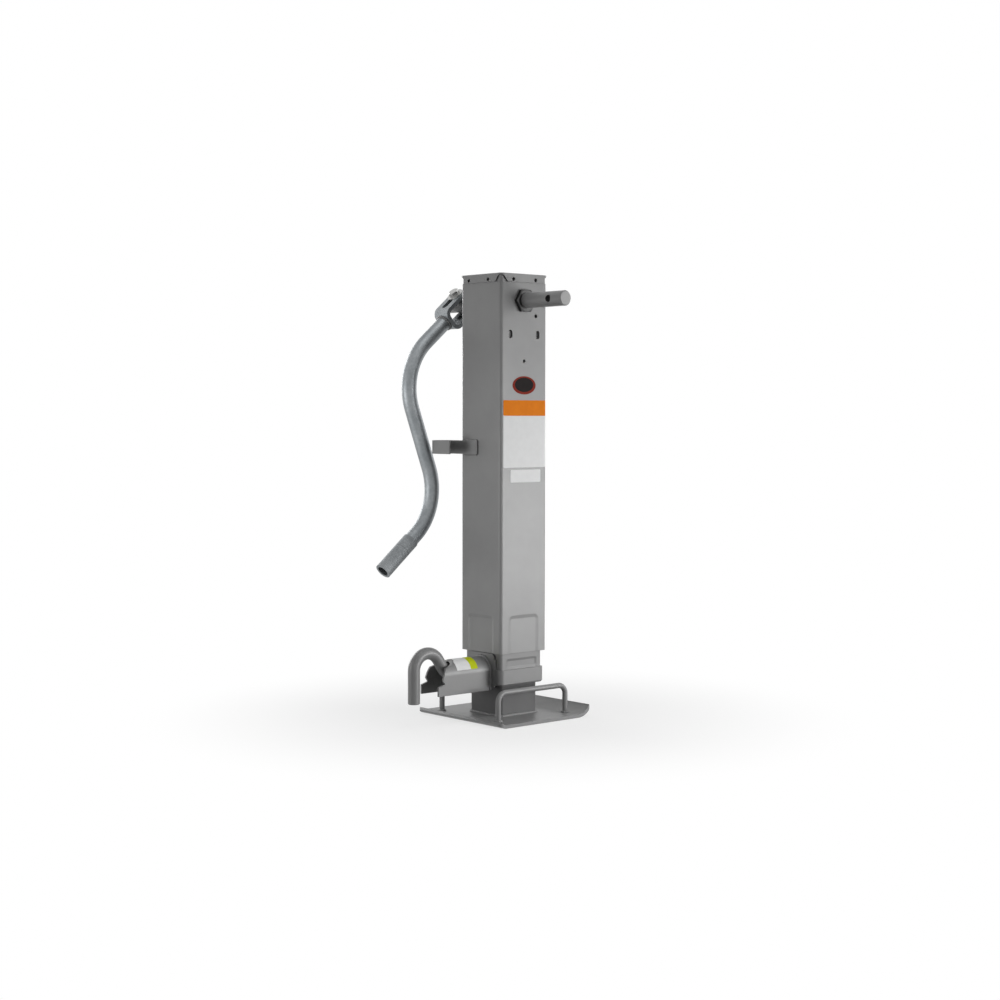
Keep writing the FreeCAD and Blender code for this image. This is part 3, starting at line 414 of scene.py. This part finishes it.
# %% Build the weld bead tree
def weld_tree():
    """Ripples along the edges of a carrier; Ripple is their spacing and Width their half width."""
    tree, given, result = new_tree("weld_bead", {"Ripple": 1.6 * MM, "Width": 2.4 * MM})
    link = tree.links.new
    curve = add_node(tree, "GeometryNodeMeshToCurve")
    resample = add_node(tree, "GeometryNodeResampleCurve", {"mode": "LENGTH"})
    ball = add_node(tree, "GeometryNodeMeshIcoSphere", None, {"Radius": 1.0, "Subdivisions": 2})
    tangent = add_node(tree, "GeometryNodeInputTangent")
    align = add_node(tree, "FunctionNodeAlignRotationToVector", {"axis": "X"})
    vary = add_node(tree, "FunctionNodeRandomValue", {"data_type": "FLOAT"},
                    {"Min": 0.88, "Max": 1.12, "Seed": 7})
    width = add_node(tree, "ShaderNodeMath", {"operation": "MULTIPLY"})
    shape = add_node(tree, "ShaderNodeCombineXYZ")
    place = add_node(tree, "GeometryNodeInstanceOnPoints")
    realize = add_node(tree, "GeometryNodeRealizeInstances")
    smooth = add_node(tree, "GeometryNodeSetShadeSmooth")
    paint = add_node(tree, "GeometryNodeSetMaterial", None, {"Material": weld_coat})
    link(given.outputs["Geometry"], curve.inputs["Mesh"])
    link(curve.outputs["Curve"], resample.inputs["Curve"])
    link(given.outputs["Ripple"], resample.inputs["Length"])
    link(tangent.outputs["Tangent"], align.inputs["Vector"])
    link(given.outputs["Width"], width.inputs[0])
    link(vary.outputs["Value"], width.inputs[1])
    link(given.outputs["Ripple"], shape.inputs["X"])
    link(width.outputs["Value"], shape.inputs["Y"])
    link(width.outputs["Value"], shape.inputs["Z"])
    link(resample.outputs["Curve"], place.inputs["Points"])
    link(ball.outputs["Mesh"], place.inputs["Instance"])
    link(align.outputs["Rotation"], place.inputs["Rotation"])
    link(shape.outputs["Vector"], place.inputs["Scale"])
    link(place.outputs["Instances"], realize.inputs["Geometry"])
    link(realize.outputs["Geometry"], smooth.inputs["Geometry"])
    link(smooth.outputs["Geometry"], paint.inputs["Geometry"])
    link(paint.outputs["Geometry"], result.inputs["Geometry"])
    return tree


bead = weld_tree()
print("weld tree with", len(bead.nodes), "nodes")

# %% [markdown]
# Each bead's path is a line where two pieces meet. Round posts and tubes get a ring, the leg a rounded
# square, and the plunger channel an arch. A path lies a little off the corner that it fills, so that the
# bead stands proud of both pieces. One piece is made for each moving body.

# %% Beads of the leg and the hoops on the foot
def ring_points(centre, radius, across, up, count=24):
    """Points of a circle in the plane of two directions."""
    turns = [2 * math.pi * i / count for i in range(count)]
    return [centre + across * (radius * math.cos(t)) + up * (radius * math.sin(t)) for t in turns]


def rounded_square(half, corner, level, steps=5):
    """Points of a level square with rounded corners, round the jack's axis."""
    points = []
    for quarter in range(4):
        for i in range(steps + 1):
            angle = math.pi / 2 * (quarter + i / steps)
            base = math.pi / 2 * quarter + math.pi / 4
            centre = Vector((math.copysign(half - corner, math.cos(base)),
                             math.copysign(half - corner, math.sin(base)), level))
            points.append(centre + Vector((math.cos(angle), math.sin(angle), 0)) * corner)
    return points


X, Y, Z = Vector((1, 0, 0)), Vector((0, 1, 0)), Vector((0, 0, 1))
hoop_low, hoop_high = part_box("hoop_front")
hoop_rod_radius = 4.0 * MM
hoop_bead_radius = 4.3 * MM
leg_bead_corner = 4.6 * MM
bead_lift = 0.6 * MM
bead_level = foot_top + bead_lift
hoop_x = hoop_high[0] - hoop_rod_radius
hoop_y = hoop_low[1] + hoop_rod_radius
foot_runs = [(rounded_square(leg_high[0] + bead_lift, leg_bead_corner, bead_level), True)]
for x in (-hoop_x, hoop_x):
    for y in (hoop_y, -hoop_y):
        foot_runs.append((ring_points(Vector((x, y, bead_level)), hoop_bead_radius, X, Y), True))
foot_welds = grow("foot_welds", path_mesh("foot_paths", foot_runs), bead,
                  {"Ripple": 1.9 * MM, "Width": 2.3 * MM})
settle(foot_welds, "drop_leg")

# %% Beads on the plunger channel
channel_bead_lift = 0.8 * MM
arch_steps = 24
arch_x = base_low[0] - channel_bead_lift
arch_foot = housing_low[2] + 2.0 * MM
arch = [Vector((arch_x, -channel_radius, arch_foot))]
for i in range(arch_steps + 1):
    turn = math.pi * i / arch_steps
    level = pin_level + channel_radius * math.sin(turn)
    arch.append(Vector((arch_x, -channel_radius * math.cos(turn), level)))
arch.append(Vector((arch_x, channel_radius, arch_foot)))

side_bead_length = 28.0 * MM
side_x = base_high[0] - channel_bead_lift
side_foot = base_low[2] + 14.0 * MM
channel_runs = [(arch, False)]
for y in (base_low[1], base_high[1]):
    start = Vector((side_x, y, side_foot))
    channel_runs.append(([start, start + Z * side_bead_length], False))
channel_welds = grow("channel_welds", path_mesh("channel_paths", channel_runs), bead,
                     {"Ripple": 1.8 * MM, "Width": 2.4 * MM})
settle(channel_welds, "ram")

# %% Beads on the handle clip
clip_bead_length = 26.0 * MM
clip_x = -outer_half - 0.5 * MM
clip_y = clip_low[1] + 3.0 * MM
clip_runs = []
for level in (clip_low[2], clip_high[2]):
    start = Vector((clip_x, clip_y, level))
    clip_runs.append(([start, start + Y * clip_bead_length], False))
clip_welds = grow("clip_welds", path_mesh("clip_paths", clip_runs), bead,
                  {"Ripple": 1.6 * MM, "Width": 1.9 * MM})
settle(clip_welds, "outer_housing")

# %% [markdown]
# The crank's tube is welded all round to the base of its clevis. The handle hangs from its bolt at an
# angle, so the ring is laid square to the direction in which the tube leaves the clevis.

# %% Bead round the crank's tube
washers_low, washers_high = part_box("crank_washers")
pivot = Vector([(a + b) / 2 for a, b in zip(washers_low, washers_high)])
handle_down = Vector((-math.sin(rest_angle), 0, -math.cos(rest_angle)))
clevis_length = 43.5 * MM
tube_bead_radius = 11.4 * MM
ring_centre = pivot + handle_down * (clevis_length + bead_lift)
ring = ring_points(ring_centre, tube_bead_radius, bolt_along, Y, count=36)
crank_weld = grow("crank_weld", path_mesh("crank_path", [(ring, True)]), bead,
                  {"Ripple": 1.8 * MM, "Width": 2.0 * MM})
settle(crank_weld, "crank_handle")

# %% [markdown]
# ## Blank stickers
# The front carries a plain oval badge and plain labels, and the plunger channel has a label on its round
# roof. Vinyl is smooth and fairly matt, with a faint mottle, so its recipe is close to the powder coat's
# with a finer relief.

# %% Sticker vinyl
def vinyl(name, colour, shade):
    """Matt vinyl that wavers between a colour and a slightly darker shade of it."""
    mottle_scale = 120.0
    gloss_scale = 300.0
    relief_scale = 500.0
    relief_strength = 0.15
    relief_depth = 0.04 * MM
    edge_radius = 0.1 * MM
    material, tree, shader, place = start_material(name, {"Metallic": 0.0, "Specular IOR Level": 0.08})
    tone = ramp(tree, noise(tree, place, mottle_scale), [(0.25, shade), (0.75, colour)])
    tree.links.new(tone, shader.inputs["Base Color"])
    gloss = between(tree, noise(tree, place, gloss_scale), low=0.50, high=0.62)
    tree.links.new(gloss, shader.inputs["Roughness"])
    waves = noise(tree, place, relief_scale, detail=2.0)
    relief = bump(tree, waves, relief_strength, relief_depth, soft_edges(tree, edge_radius))
    tree.links.new(relief, shader.inputs["Normal"])
    return material


white_vinyl = vinyl("white_vinyl", (0.90, 0.905, 0.905), (0.85, 0.855, 0.855))
orange_vinyl = vinyl("orange_vinyl", (0.90, 0.255, 0.010), (0.82, 0.215, 0.008))
badge_rim = vinyl("badge_rim_vinyl", (0.28, 0.028, 0.016), (0.21, 0.022, 0.012))
badge_dark = vinyl("badge_dark_vinyl", (0.012, 0.008, 0.008), (0.007, 0.005, 0.005))
lime_vinyl = vinyl("lime_vinyl", (0.62, 0.70, 0.018), (0.53, 0.61, 0.014))
print("vinyls", [m.name for m in (white_vinyl, orange_vinyl, badge_rim, badge_dark, lime_vinyl)])

# %% [markdown]
# Thin vinyl follows what it is stuck to. A flat card would stand off the tube's rounded corners, so each
# sticker is a grid of surface coordinates that a function lays on the tube's rounded square or on the
# channel's half round, once on the surface and once a sticker's thickness above it.

# %% Wrap a sheet on a surface
def on_front(across, level, lift):
    """A point of the tube's front face, which turns round the corners, and lifted off it a little."""
    flat = outer_half - outer_corner
    beyond = max(0.0, abs(across) - flat)
    side = math.copysign(1.0, across)
    turn = beyond / outer_corner
    radius = outer_corner + lift
    if beyond == 0.0:
        return Vector((across, -outer_half - lift, level))
    x = side * (flat + radius * math.sin(turn))
    return Vector((x, -flat - radius * math.cos(turn), level))


def on_channel(along, turn, lift):
    """A point on the channel's half-round roof; turn is the angle from its crown towards the front."""
    radius = channel_radius + lift
    return Vector((along, -radius * math.sin(turn), pin_level + radius * math.cos(turn)))


def wrapped_sheet(name, rows, material, surface, thickness):
    """A closed thin sheet over a grid of surface coordinates."""
    mesh = bmesh.new()
    layers = []
    for lift in (0.0, thickness):
        layers.append([[mesh.verts.new(surface(u, v, lift)) for u, v in row] for row in rows])
    bottom, top = layers
    last_row, last_column = len(rows) - 1, len(rows[0]) - 1
    for i in range(last_row):
        for j in range(last_column):
            mesh.faces.new((top[i][j], top[i][j + 1], top[i + 1][j + 1], top[i + 1][j]))
            mesh.faces.new((bottom[i][j], bottom[i + 1][j], bottom[i + 1][j + 1], bottom[i][j + 1]))
    for j in range(last_column):
        mesh.faces.new((bottom[0][j], bottom[0][j + 1], top[0][j + 1], top[0][j]))
        mesh.faces.new((bottom[-1][j + 1], bottom[-1][j], top[-1][j], top[-1][j + 1]))
    for i in range(last_row):
        mesh.faces.new((bottom[i + 1][0], bottom[i][0], top[i][0], top[i + 1][0]))
        mesh.faces.new((bottom[i][-1], bottom[i + 1][-1], top[i + 1][-1], top[i][-1]))
    bmesh.ops.recalc_face_normals(mesh, faces=mesh.faces)
    data = bpy.data.meshes.new(name)
    mesh.to_mesh(data)
    mesh.free()
    data.materials.append(material)
    piece = bpy.data.objects.new(name, data)
    bpy.context.scene.collection.objects.link(piece)
    return piece


sticker = 0.12 * MM
print("stickers are", sticker, "thick")

# %% Labels on the tube's front
def label_rows(left, right, low, high, corner, columns=28, rows=10):
    """Grid rows of a rectangle whose columns shorten near the ends, which rounds its corners."""
    grid = []
    for i in range(rows + 1):
        row = []
        for j in range(columns + 1):
            share = 0.5 - 0.5 * math.cos(math.pi * j / columns)
            across = left + (right - left) * share
            inset = max(0.0, corner - min(across - left, right - across))
            trim = corner - math.sqrt(max(0.0, corner ** 2 - inset ** 2))
            row.append((across, low + trim + (high - low - 2 * trim) * i / rows))
        grid.append(row)
    return grid


label_left = -40.4 * MM
label_right = 42.7 * MM
label_high = tube_top - 182.2 * MM
label_low = label_high - 98.5 * MM
band_low = label_high - 22.7 * MM
small_left = -26.3 * MM
small_right = 32.6 * MM
small_high = tube_top - 283.8 * MM
small_low = small_high - 18.6 * MM
label_grid = label_rows(label_left, label_right, label_low, label_high, corner=2.0 * MM)
band_grid = label_rows(label_left, label_right, band_low, label_high, corner=1.6 * MM)
small_grid = label_rows(small_left, small_right, small_low, small_high, corner=1.5 * MM)
label = wrapped_sheet("front_label", label_grid, white_vinyl, on_front, sticker)
band = wrapped_sheet("front_label_band", band_grid, orange_vinyl, on_front, 2 * sticker)
small_label = wrapped_sheet("front_small_label", small_grid, white_vinyl, on_front, sticker)
for piece in (label, band, small_label):
    settle(piece, "outer_housing")

# %% [markdown]
# The badge is an oval with a coloured rim. Its grid has columns that shorten to almost nothing at the two
# ends, and a small dark oval lies on the larger one, so that the rim is what shows round it.

# %% Oval badge
def oval_rows(centre_z, half_width, half_height, columns=40, rows=8):
    """Grid rows of an oval; its ends keep a hair's height, so that no face closes to a point."""
    end_height = 0.05 * MM
    grid = []
    for i in range(rows + 1):
        row = []
        for j in range(columns + 1):
            across = -half_width * math.cos(math.pi * j / columns)
            rise = half_height * math.sqrt(max(0.0, 1 - (across / half_width) ** 2)) + end_height
            row.append((across, centre_z + rise * (2 * i / rows - 1)))
        grid.append(row)
    return grid


badge_level = tube_top - 160.4 * MM
face_level = badge_level + 0.8 * MM
badge_grid = oval_rows(badge_level, half_width=22.7 * MM, half_height=13.3 * MM)
face_grid = oval_rows(face_level, half_width=18.0 * MM, half_height=10.5 * MM)
badge = wrapped_sheet("front_badge", badge_grid, badge_rim, on_front, sticker)
badge_face = wrapped_sheet("front_badge_face", face_grid, badge_dark, on_front, 2 * sticker)
for piece in (badge, badge_face):
    settle(piece, "outer_housing")

# %% [markdown]
# The plunger channel's label is a white piece with a lime band, bent over the half-round roof. The roof is
# cut off at a slant, which runs outwards as it comes down from the crown, so each row of the grid ends
# where the roof still carries it.

# %% Label on the plunger channel
band_start = base_low[0] - 24.0 * MM
seam = base_low[0] - 37.1 * MM
label_far = base_low[0] - 63.0 * MM
roof_end = base_low[0] - 59.0 * MM
roof_slope = 10.0 / 6.1
roof_margin = 0.8 * MM


def roof_limit(turn):
    """How far out the roof still carries a label at an angle from its crown."""
    drop = channel_radius * (1 - math.cos(turn))
    return max(label_far, roof_end - roof_slope * drop + roof_margin)


def roof_rows(near, far, reach, columns=6, rows=24):
    """Grid rows along the channel, from one side of the crown to the other."""
    grid = []
    for i in range(rows + 1):
        turn = reach * (2 * i / rows - 1)
        end = max(far, roof_limit(turn))
        grid.append([(near + (end - near) * j / columns, turn) for j in range(columns + 1)])
    return grid


wrap = math.radians(72.0)
channel_grid = roof_rows(seam, label_far, wrap)
lime_grid = roof_rows(band_start, seam, wrap)
channel_label = wrapped_sheet("channel_label", channel_grid, white_vinyl, on_channel, sticker)
channel_band = wrapped_sheet("channel_label_band", lime_grid, lime_vinyl, on_channel, sticker)
for piece in (channel_label, channel_band):
    settle(piece, "ram")

# %% [markdown]
# ## Bolt thread and plunger spring
# A rolled thread and a coil spring are both a wire wound in a helix, so one tree makes both: a spiral curve
# swept with a ring of a few sides. Three sides give the thread its sharp ridge, and twelve give a round
# wire. The spiral is drawn along +Z and then turned onto its own line.

# %% Build the helix tree
def helix_tree(name, finish):
    """A wire wound in a helix; Wire is its radius and Sides the number of sides of its section."""
    tree, given, result = new_tree(name, {"Turns": 8.0, "Pitch": 1.5 * MM, "Radius": 4.7 * MM,
                                          "Wire": 0.5 * MM, "Sides": 3.0})
    link = tree.links.new
    spiral = add_node(tree, "GeometryNodeCurveSpiral", None, {"Resolution": 36})
    height = add_node(tree, "ShaderNodeMath", {"operation": "MULTIPLY"})
    profile = add_node(tree, "GeometryNodeCurvePrimitiveCircle")
    sweep = add_node(tree, "GeometryNodeCurveToMesh", None, {"Fill Caps": True})
    realize = add_node(tree, "GeometryNodeRealizeInstances")
    paint = add_node(tree, "GeometryNodeSetMaterial", None, {"Material": finish})
    link(given.outputs["Turns"], height.inputs[0])
    link(given.outputs["Pitch"], height.inputs[1])
    link(given.outputs["Turns"], spiral.inputs["Rotations"])
    link(height.outputs["Value"], spiral.inputs["Height"])
    link(given.outputs["Radius"], spiral.inputs["Start Radius"])
    link(given.outputs["Radius"], spiral.inputs["End Radius"])
    link(given.outputs["Wire"], profile.inputs["Radius"])
    link(given.outputs["Sides"], profile.inputs["Resolution"])
    link(spiral.outputs["Curve"], sweep.inputs["Curve"])
    link(profile.outputs["Curve"], sweep.inputs["Profile Curve"])
    link(sweep.outputs["Mesh"], realize.inputs["Geometry"])
    link(realize.outputs["Geometry"], paint.inputs["Geometry"])
    link(paint.outputs["Geometry"], result.inputs["Geometry"])
    return tree


def wind(name, finish, start, along, sizes):
    """A helix that starts at a point and runs along a direction."""
    carrier = path_mesh(name + "_path", [([Vector(), Z * MM], False)])
    piece = grow(name, carrier, helix_tree(name + "_helix", finish), sizes)
    turn = Z.rotation_difference(along).to_matrix().to_4x4()
    piece.data.transform(Matrix.Translation(start) @ turn)
    return piece


print("helix helpers ready")

# %% Thread on the crank bolt
nut_face = 31.7 * MM
thread_gap = 0.3 * MM
thread_start = pivot + bolt_along * (nut_face + thread_gap)
thread_sizes = {"Turns": 1.35, "Pitch": 1.588 * MM, "Radius": 4.62 * MM, "Wire": 0.5 * MM, "Sides": 3.0}
bolt_thread = wind("bolt_thread", bright_zinc, thread_start, bolt_along, thread_sizes)
settle(bolt_thread, "pivot_bolt")

# %% [markdown]
# The plunger's spring is held between a plate of the ram and a collar on the pull bar. A rigid spring would
# let the collar pass through its coils when the bar is pulled. This round-wire spring replaces the CAD
# spring.

# %% Spring of the plunger
spring_low, spring_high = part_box("plunger_spring")
spring_level = (spring_low[2] + spring_high[2]) / 2
spring_wire = 1.1 * MM
end_gap = 0.1 * MM
coils = 4.5
spring_run = spring_high[0] - spring_low[0] - 2 * (spring_wire + end_gap)
spring_start = Vector((spring_high[0] - spring_wire - end_gap, 0, spring_level))
spring_sizes = {"Turns": coils, "Pitch": spring_run / coils, "Radius": 11.0 * MM, "Wire": spring_wire,
                "Sides": 12.0}
coil_spring = wind("coil_spring", oiled_steel, spring_start, -X, spring_sizes)
coil_spring.data.shade_smooth()
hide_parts("plunger_spring")
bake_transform(coil_spring)
print("spring with", len(coil_spring.data.polygons), "faces")

# %% [markdown]
# ## Floor, background and light
# A catalogue picture has a white ground and a soft shadow under the object. Camera and mirror rays see a
# pale sheet near the jack that fades to plain white further out. The rays that carry light see a darker
# sheet, so the ground throws little light back up at the object, as on a large studio table. The floor
# rides on the drop leg, because the ground is under the foot however far the jack is wound out.

# %% Floor
def seen_directly(tree):
    """1 for camera, mirror and glass rays, 0 for the rays that carry light."""
    path = add_node(tree, "ShaderNodeLightPath")
    total = path.outputs["Is Camera Ray"]
    for name in ("Is Glossy Ray", "Is Transmission Ray"):
        larger = add_node(tree, "ShaderNodeMath", {"operation": "MAXIMUM"})
        tree.links.new(total, larger.inputs[0])
        tree.links.new(path.outputs[name], larger.inputs[1])
        total = larger.outputs["Value"]
    return total


def floor_material():
    """A pale sheet that fades to white away from the jack, and is darker to the rays that carry light."""
    material, tree, shader, place = start_material(
        "studio_floor", {"Roughness": 0.9, "Base Color": (0.86, 0.86, 0.86, 1.0)})
    unseen = add_node(tree, "ShaderNodeBsdfDiffuse", None, {"Color": (0.2, 0.2, 0.2, 1.0)})
    distance = add_node(tree, "ShaderNodeVectorMath", {"operation": "LENGTH"})
    tree.links.new(place, distance.inputs[0])
    fade = add_node(tree, "ShaderNodeMapRange", {"interpolation_type": "SMOOTHSTEP"},
                    {"From Min": 0.12, "From Max": 0.55, "To Min": 0.7, "To Max": 1.0})
    tree.links.new(distance.outputs["Value"], fade.inputs["Value"])
    white = add_node(tree, "ShaderNodeEmission", None, {"Color": (1.0, 1.0, 1.0, 1.0), "Strength": 1.0})
    seen = add_node(tree, "ShaderNodeMixShader")
    tree.links.new(fade.outputs["Result"], seen.inputs["Fac"])
    tree.links.new(shader.outputs["BSDF"], seen.inputs[1])
    tree.links.new(white.outputs["Emission"], seen.inputs[2])
    choose = add_node(tree, "ShaderNodeMixShader")
    tree.links.new(seen_directly(tree), choose.inputs["Fac"])
    tree.links.new(unseen.outputs["BSDF"], choose.inputs[1])
    tree.links.new(seen.outputs["Shader"], choose.inputs[2])
    tree.links.new(choose.outputs["Shader"], tree.nodes["Material Output"].inputs["Surface"])
    return material


half_floor = 14.0
floor_level = cad_low[2] - 0.2 * MM
corners = [(-half_floor, -half_floor, floor_level), (half_floor, -half_floor, floor_level),
           (half_floor, half_floor, floor_level), (-half_floor, half_floor, floor_level)]
floor_mesh = bpy.data.meshes.new("floor")
floor_mesh.from_pydata(corners, [], [(0, 1, 2, 3)])
floor_mesh.materials.append(floor_material())
floor = bpy.data.objects.new("floor", floor_mesh)
bpy.context.scene.collection.objects.link(floor)
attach(floor, "drop_leg")
print("floor at", round(floor_level, 5))

# %% [markdown]
# The background is plain white to the rays that see it and only a faint grey to the rest, so that it lifts
# the shadows a little and the lamps do the lighting.

# %% World
world = bpy.data.worlds.new("studio")
bpy.context.scene.world = world
world.use_nodes = True
sky = world.node_tree
ambient = sky.nodes["Background"]
ambient.inputs["Color"].default_value = (1.0, 1.0, 1.0, 1.0)
ambient.inputs["Strength"].default_value = 0.08
plain_white = add_node(sky, "ShaderNodeBackground", None, {"Color": (1.0, 1.0, 1.0, 1.0), "Strength": 1.0})
choose = add_node(sky, "ShaderNodeMixShader")
sky.links.new(seen_directly(sky), choose.inputs["Fac"])
sky.links.new(ambient.outputs["Background"], choose.inputs[1])
sky.links.new(plain_white.outputs["Background"], choose.inputs[2])
sky.links.new(choose.outputs["Shader"], sky.nodes["World Output"].inputs["Surface"])
print("world with", len(sky.nodes), "nodes")

# %% [markdown]
# The photograph is lit low from the camera's right, which puts a soft glow on the lower half of the front
# face, and from the left rear, which leaves the plunger's side in half shade with a dark line down the
# corner between them. Four soft boxes do that, and two more light the rear and the right side, which
# only other views show. The key and the side lamp stand low and near, with a narrow spread such as a grid
# on a soft box gives, so that their light fades towards the cap.

# %% Lamps
def soft_lamp(name, position, target, width, height, power, spread=180.0):
    """A rectangular soft box that looks from its position at a target; spread is in degrees."""
    lamp = bpy.data.lights.new(name, "AREA")
    lamp.shape = "RECTANGLE"
    lamp.size = width
    lamp.size_y = height
    lamp.energy = power
    lamp.spread = math.radians(spread)
    lamp_object = bpy.data.objects.new(name, lamp)
    bpy.context.scene.collection.objects.link(lamp_object)
    lamp_object.location = position
    aim = Vector(target) - Vector(position)
    lamp_object.rotation_euler = aim.to_track_quat("-Z", "Y").to_euler()
    return lamp_object


low_front = (0.0, 0.0, 0.17)
high_front = (0.0, 0.0, 0.45)
middle = (0.0, 0.0, 0.35)
lamps = [
    soft_lamp("key_lamp", (0.72, -1.2, 0.20), low_front, width=1.0, height=0.38, power=2.1, spread=70.0),
    soft_lamp("front_lamp", (0.75, -1.3, 0.8), high_front, width=0.8, height=0.8, power=4.6),
    soft_lamp("side_lamp", (-1.16, 0.40, 0.27), middle, width=0.6, height=0.6, power=1.05, spread=80.0),
    soft_lamp("back_lamp", (0.0, 2.9, 1.1), middle, width=1.4, height=1.4, power=32.0),
    soft_lamp("right_lamp", (2.8, -0.1, 0.9), middle, width=1.4, height=1.4, power=12.0),
    soft_lamp("top_lamp", (-0.1, -0.6, 2.4), middle, width=1.2, height=1.2, power=8.0),
]
print("lamps", [lamp.name for lamp in lamps])

# %% [markdown]
# ## Camera
# The view comes from matching the tube's edges in the photograph: nearly level, from the front left, with
# a long lens. A small sideways shift centres the frame as the photograph does.

# %% Camera
camera_data = bpy.data.cameras.new("camera")
camera_data.sensor_width = 36.0
camera_data.lens = 64.834
camera_data.shift_x = -0.00367
camera_data.clip_end = 100.0
camera = bpy.data.objects.new("camera", camera_data)
bpy.context.scene.collection.objects.link(camera)
azimuth = math.radians(41.24)
pitch = math.radians(2.747)
roll = math.radians(0.08)
camera_distance = 2.6755
camera_height = 0.4498
place = Vector((-math.sin(azimuth) * camera_distance, -math.cos(azimuth) * camera_distance, camera_height))
heading = Matrix.Rotation(-azimuth, 4, "Z")
tilt = Matrix.Rotation(math.pi / 2 - pitch, 4, "X")
aim = heading @ tilt @ Matrix.Rotation(roll, 4, "Z")
camera.matrix_world = Matrix.Translation(place) @ aim
bpy.context.scene.camera = camera
bpy.context.scene.view_settings.view_transform = "Standard"
print("camera at", [round(v, 3) for v in camera.location])
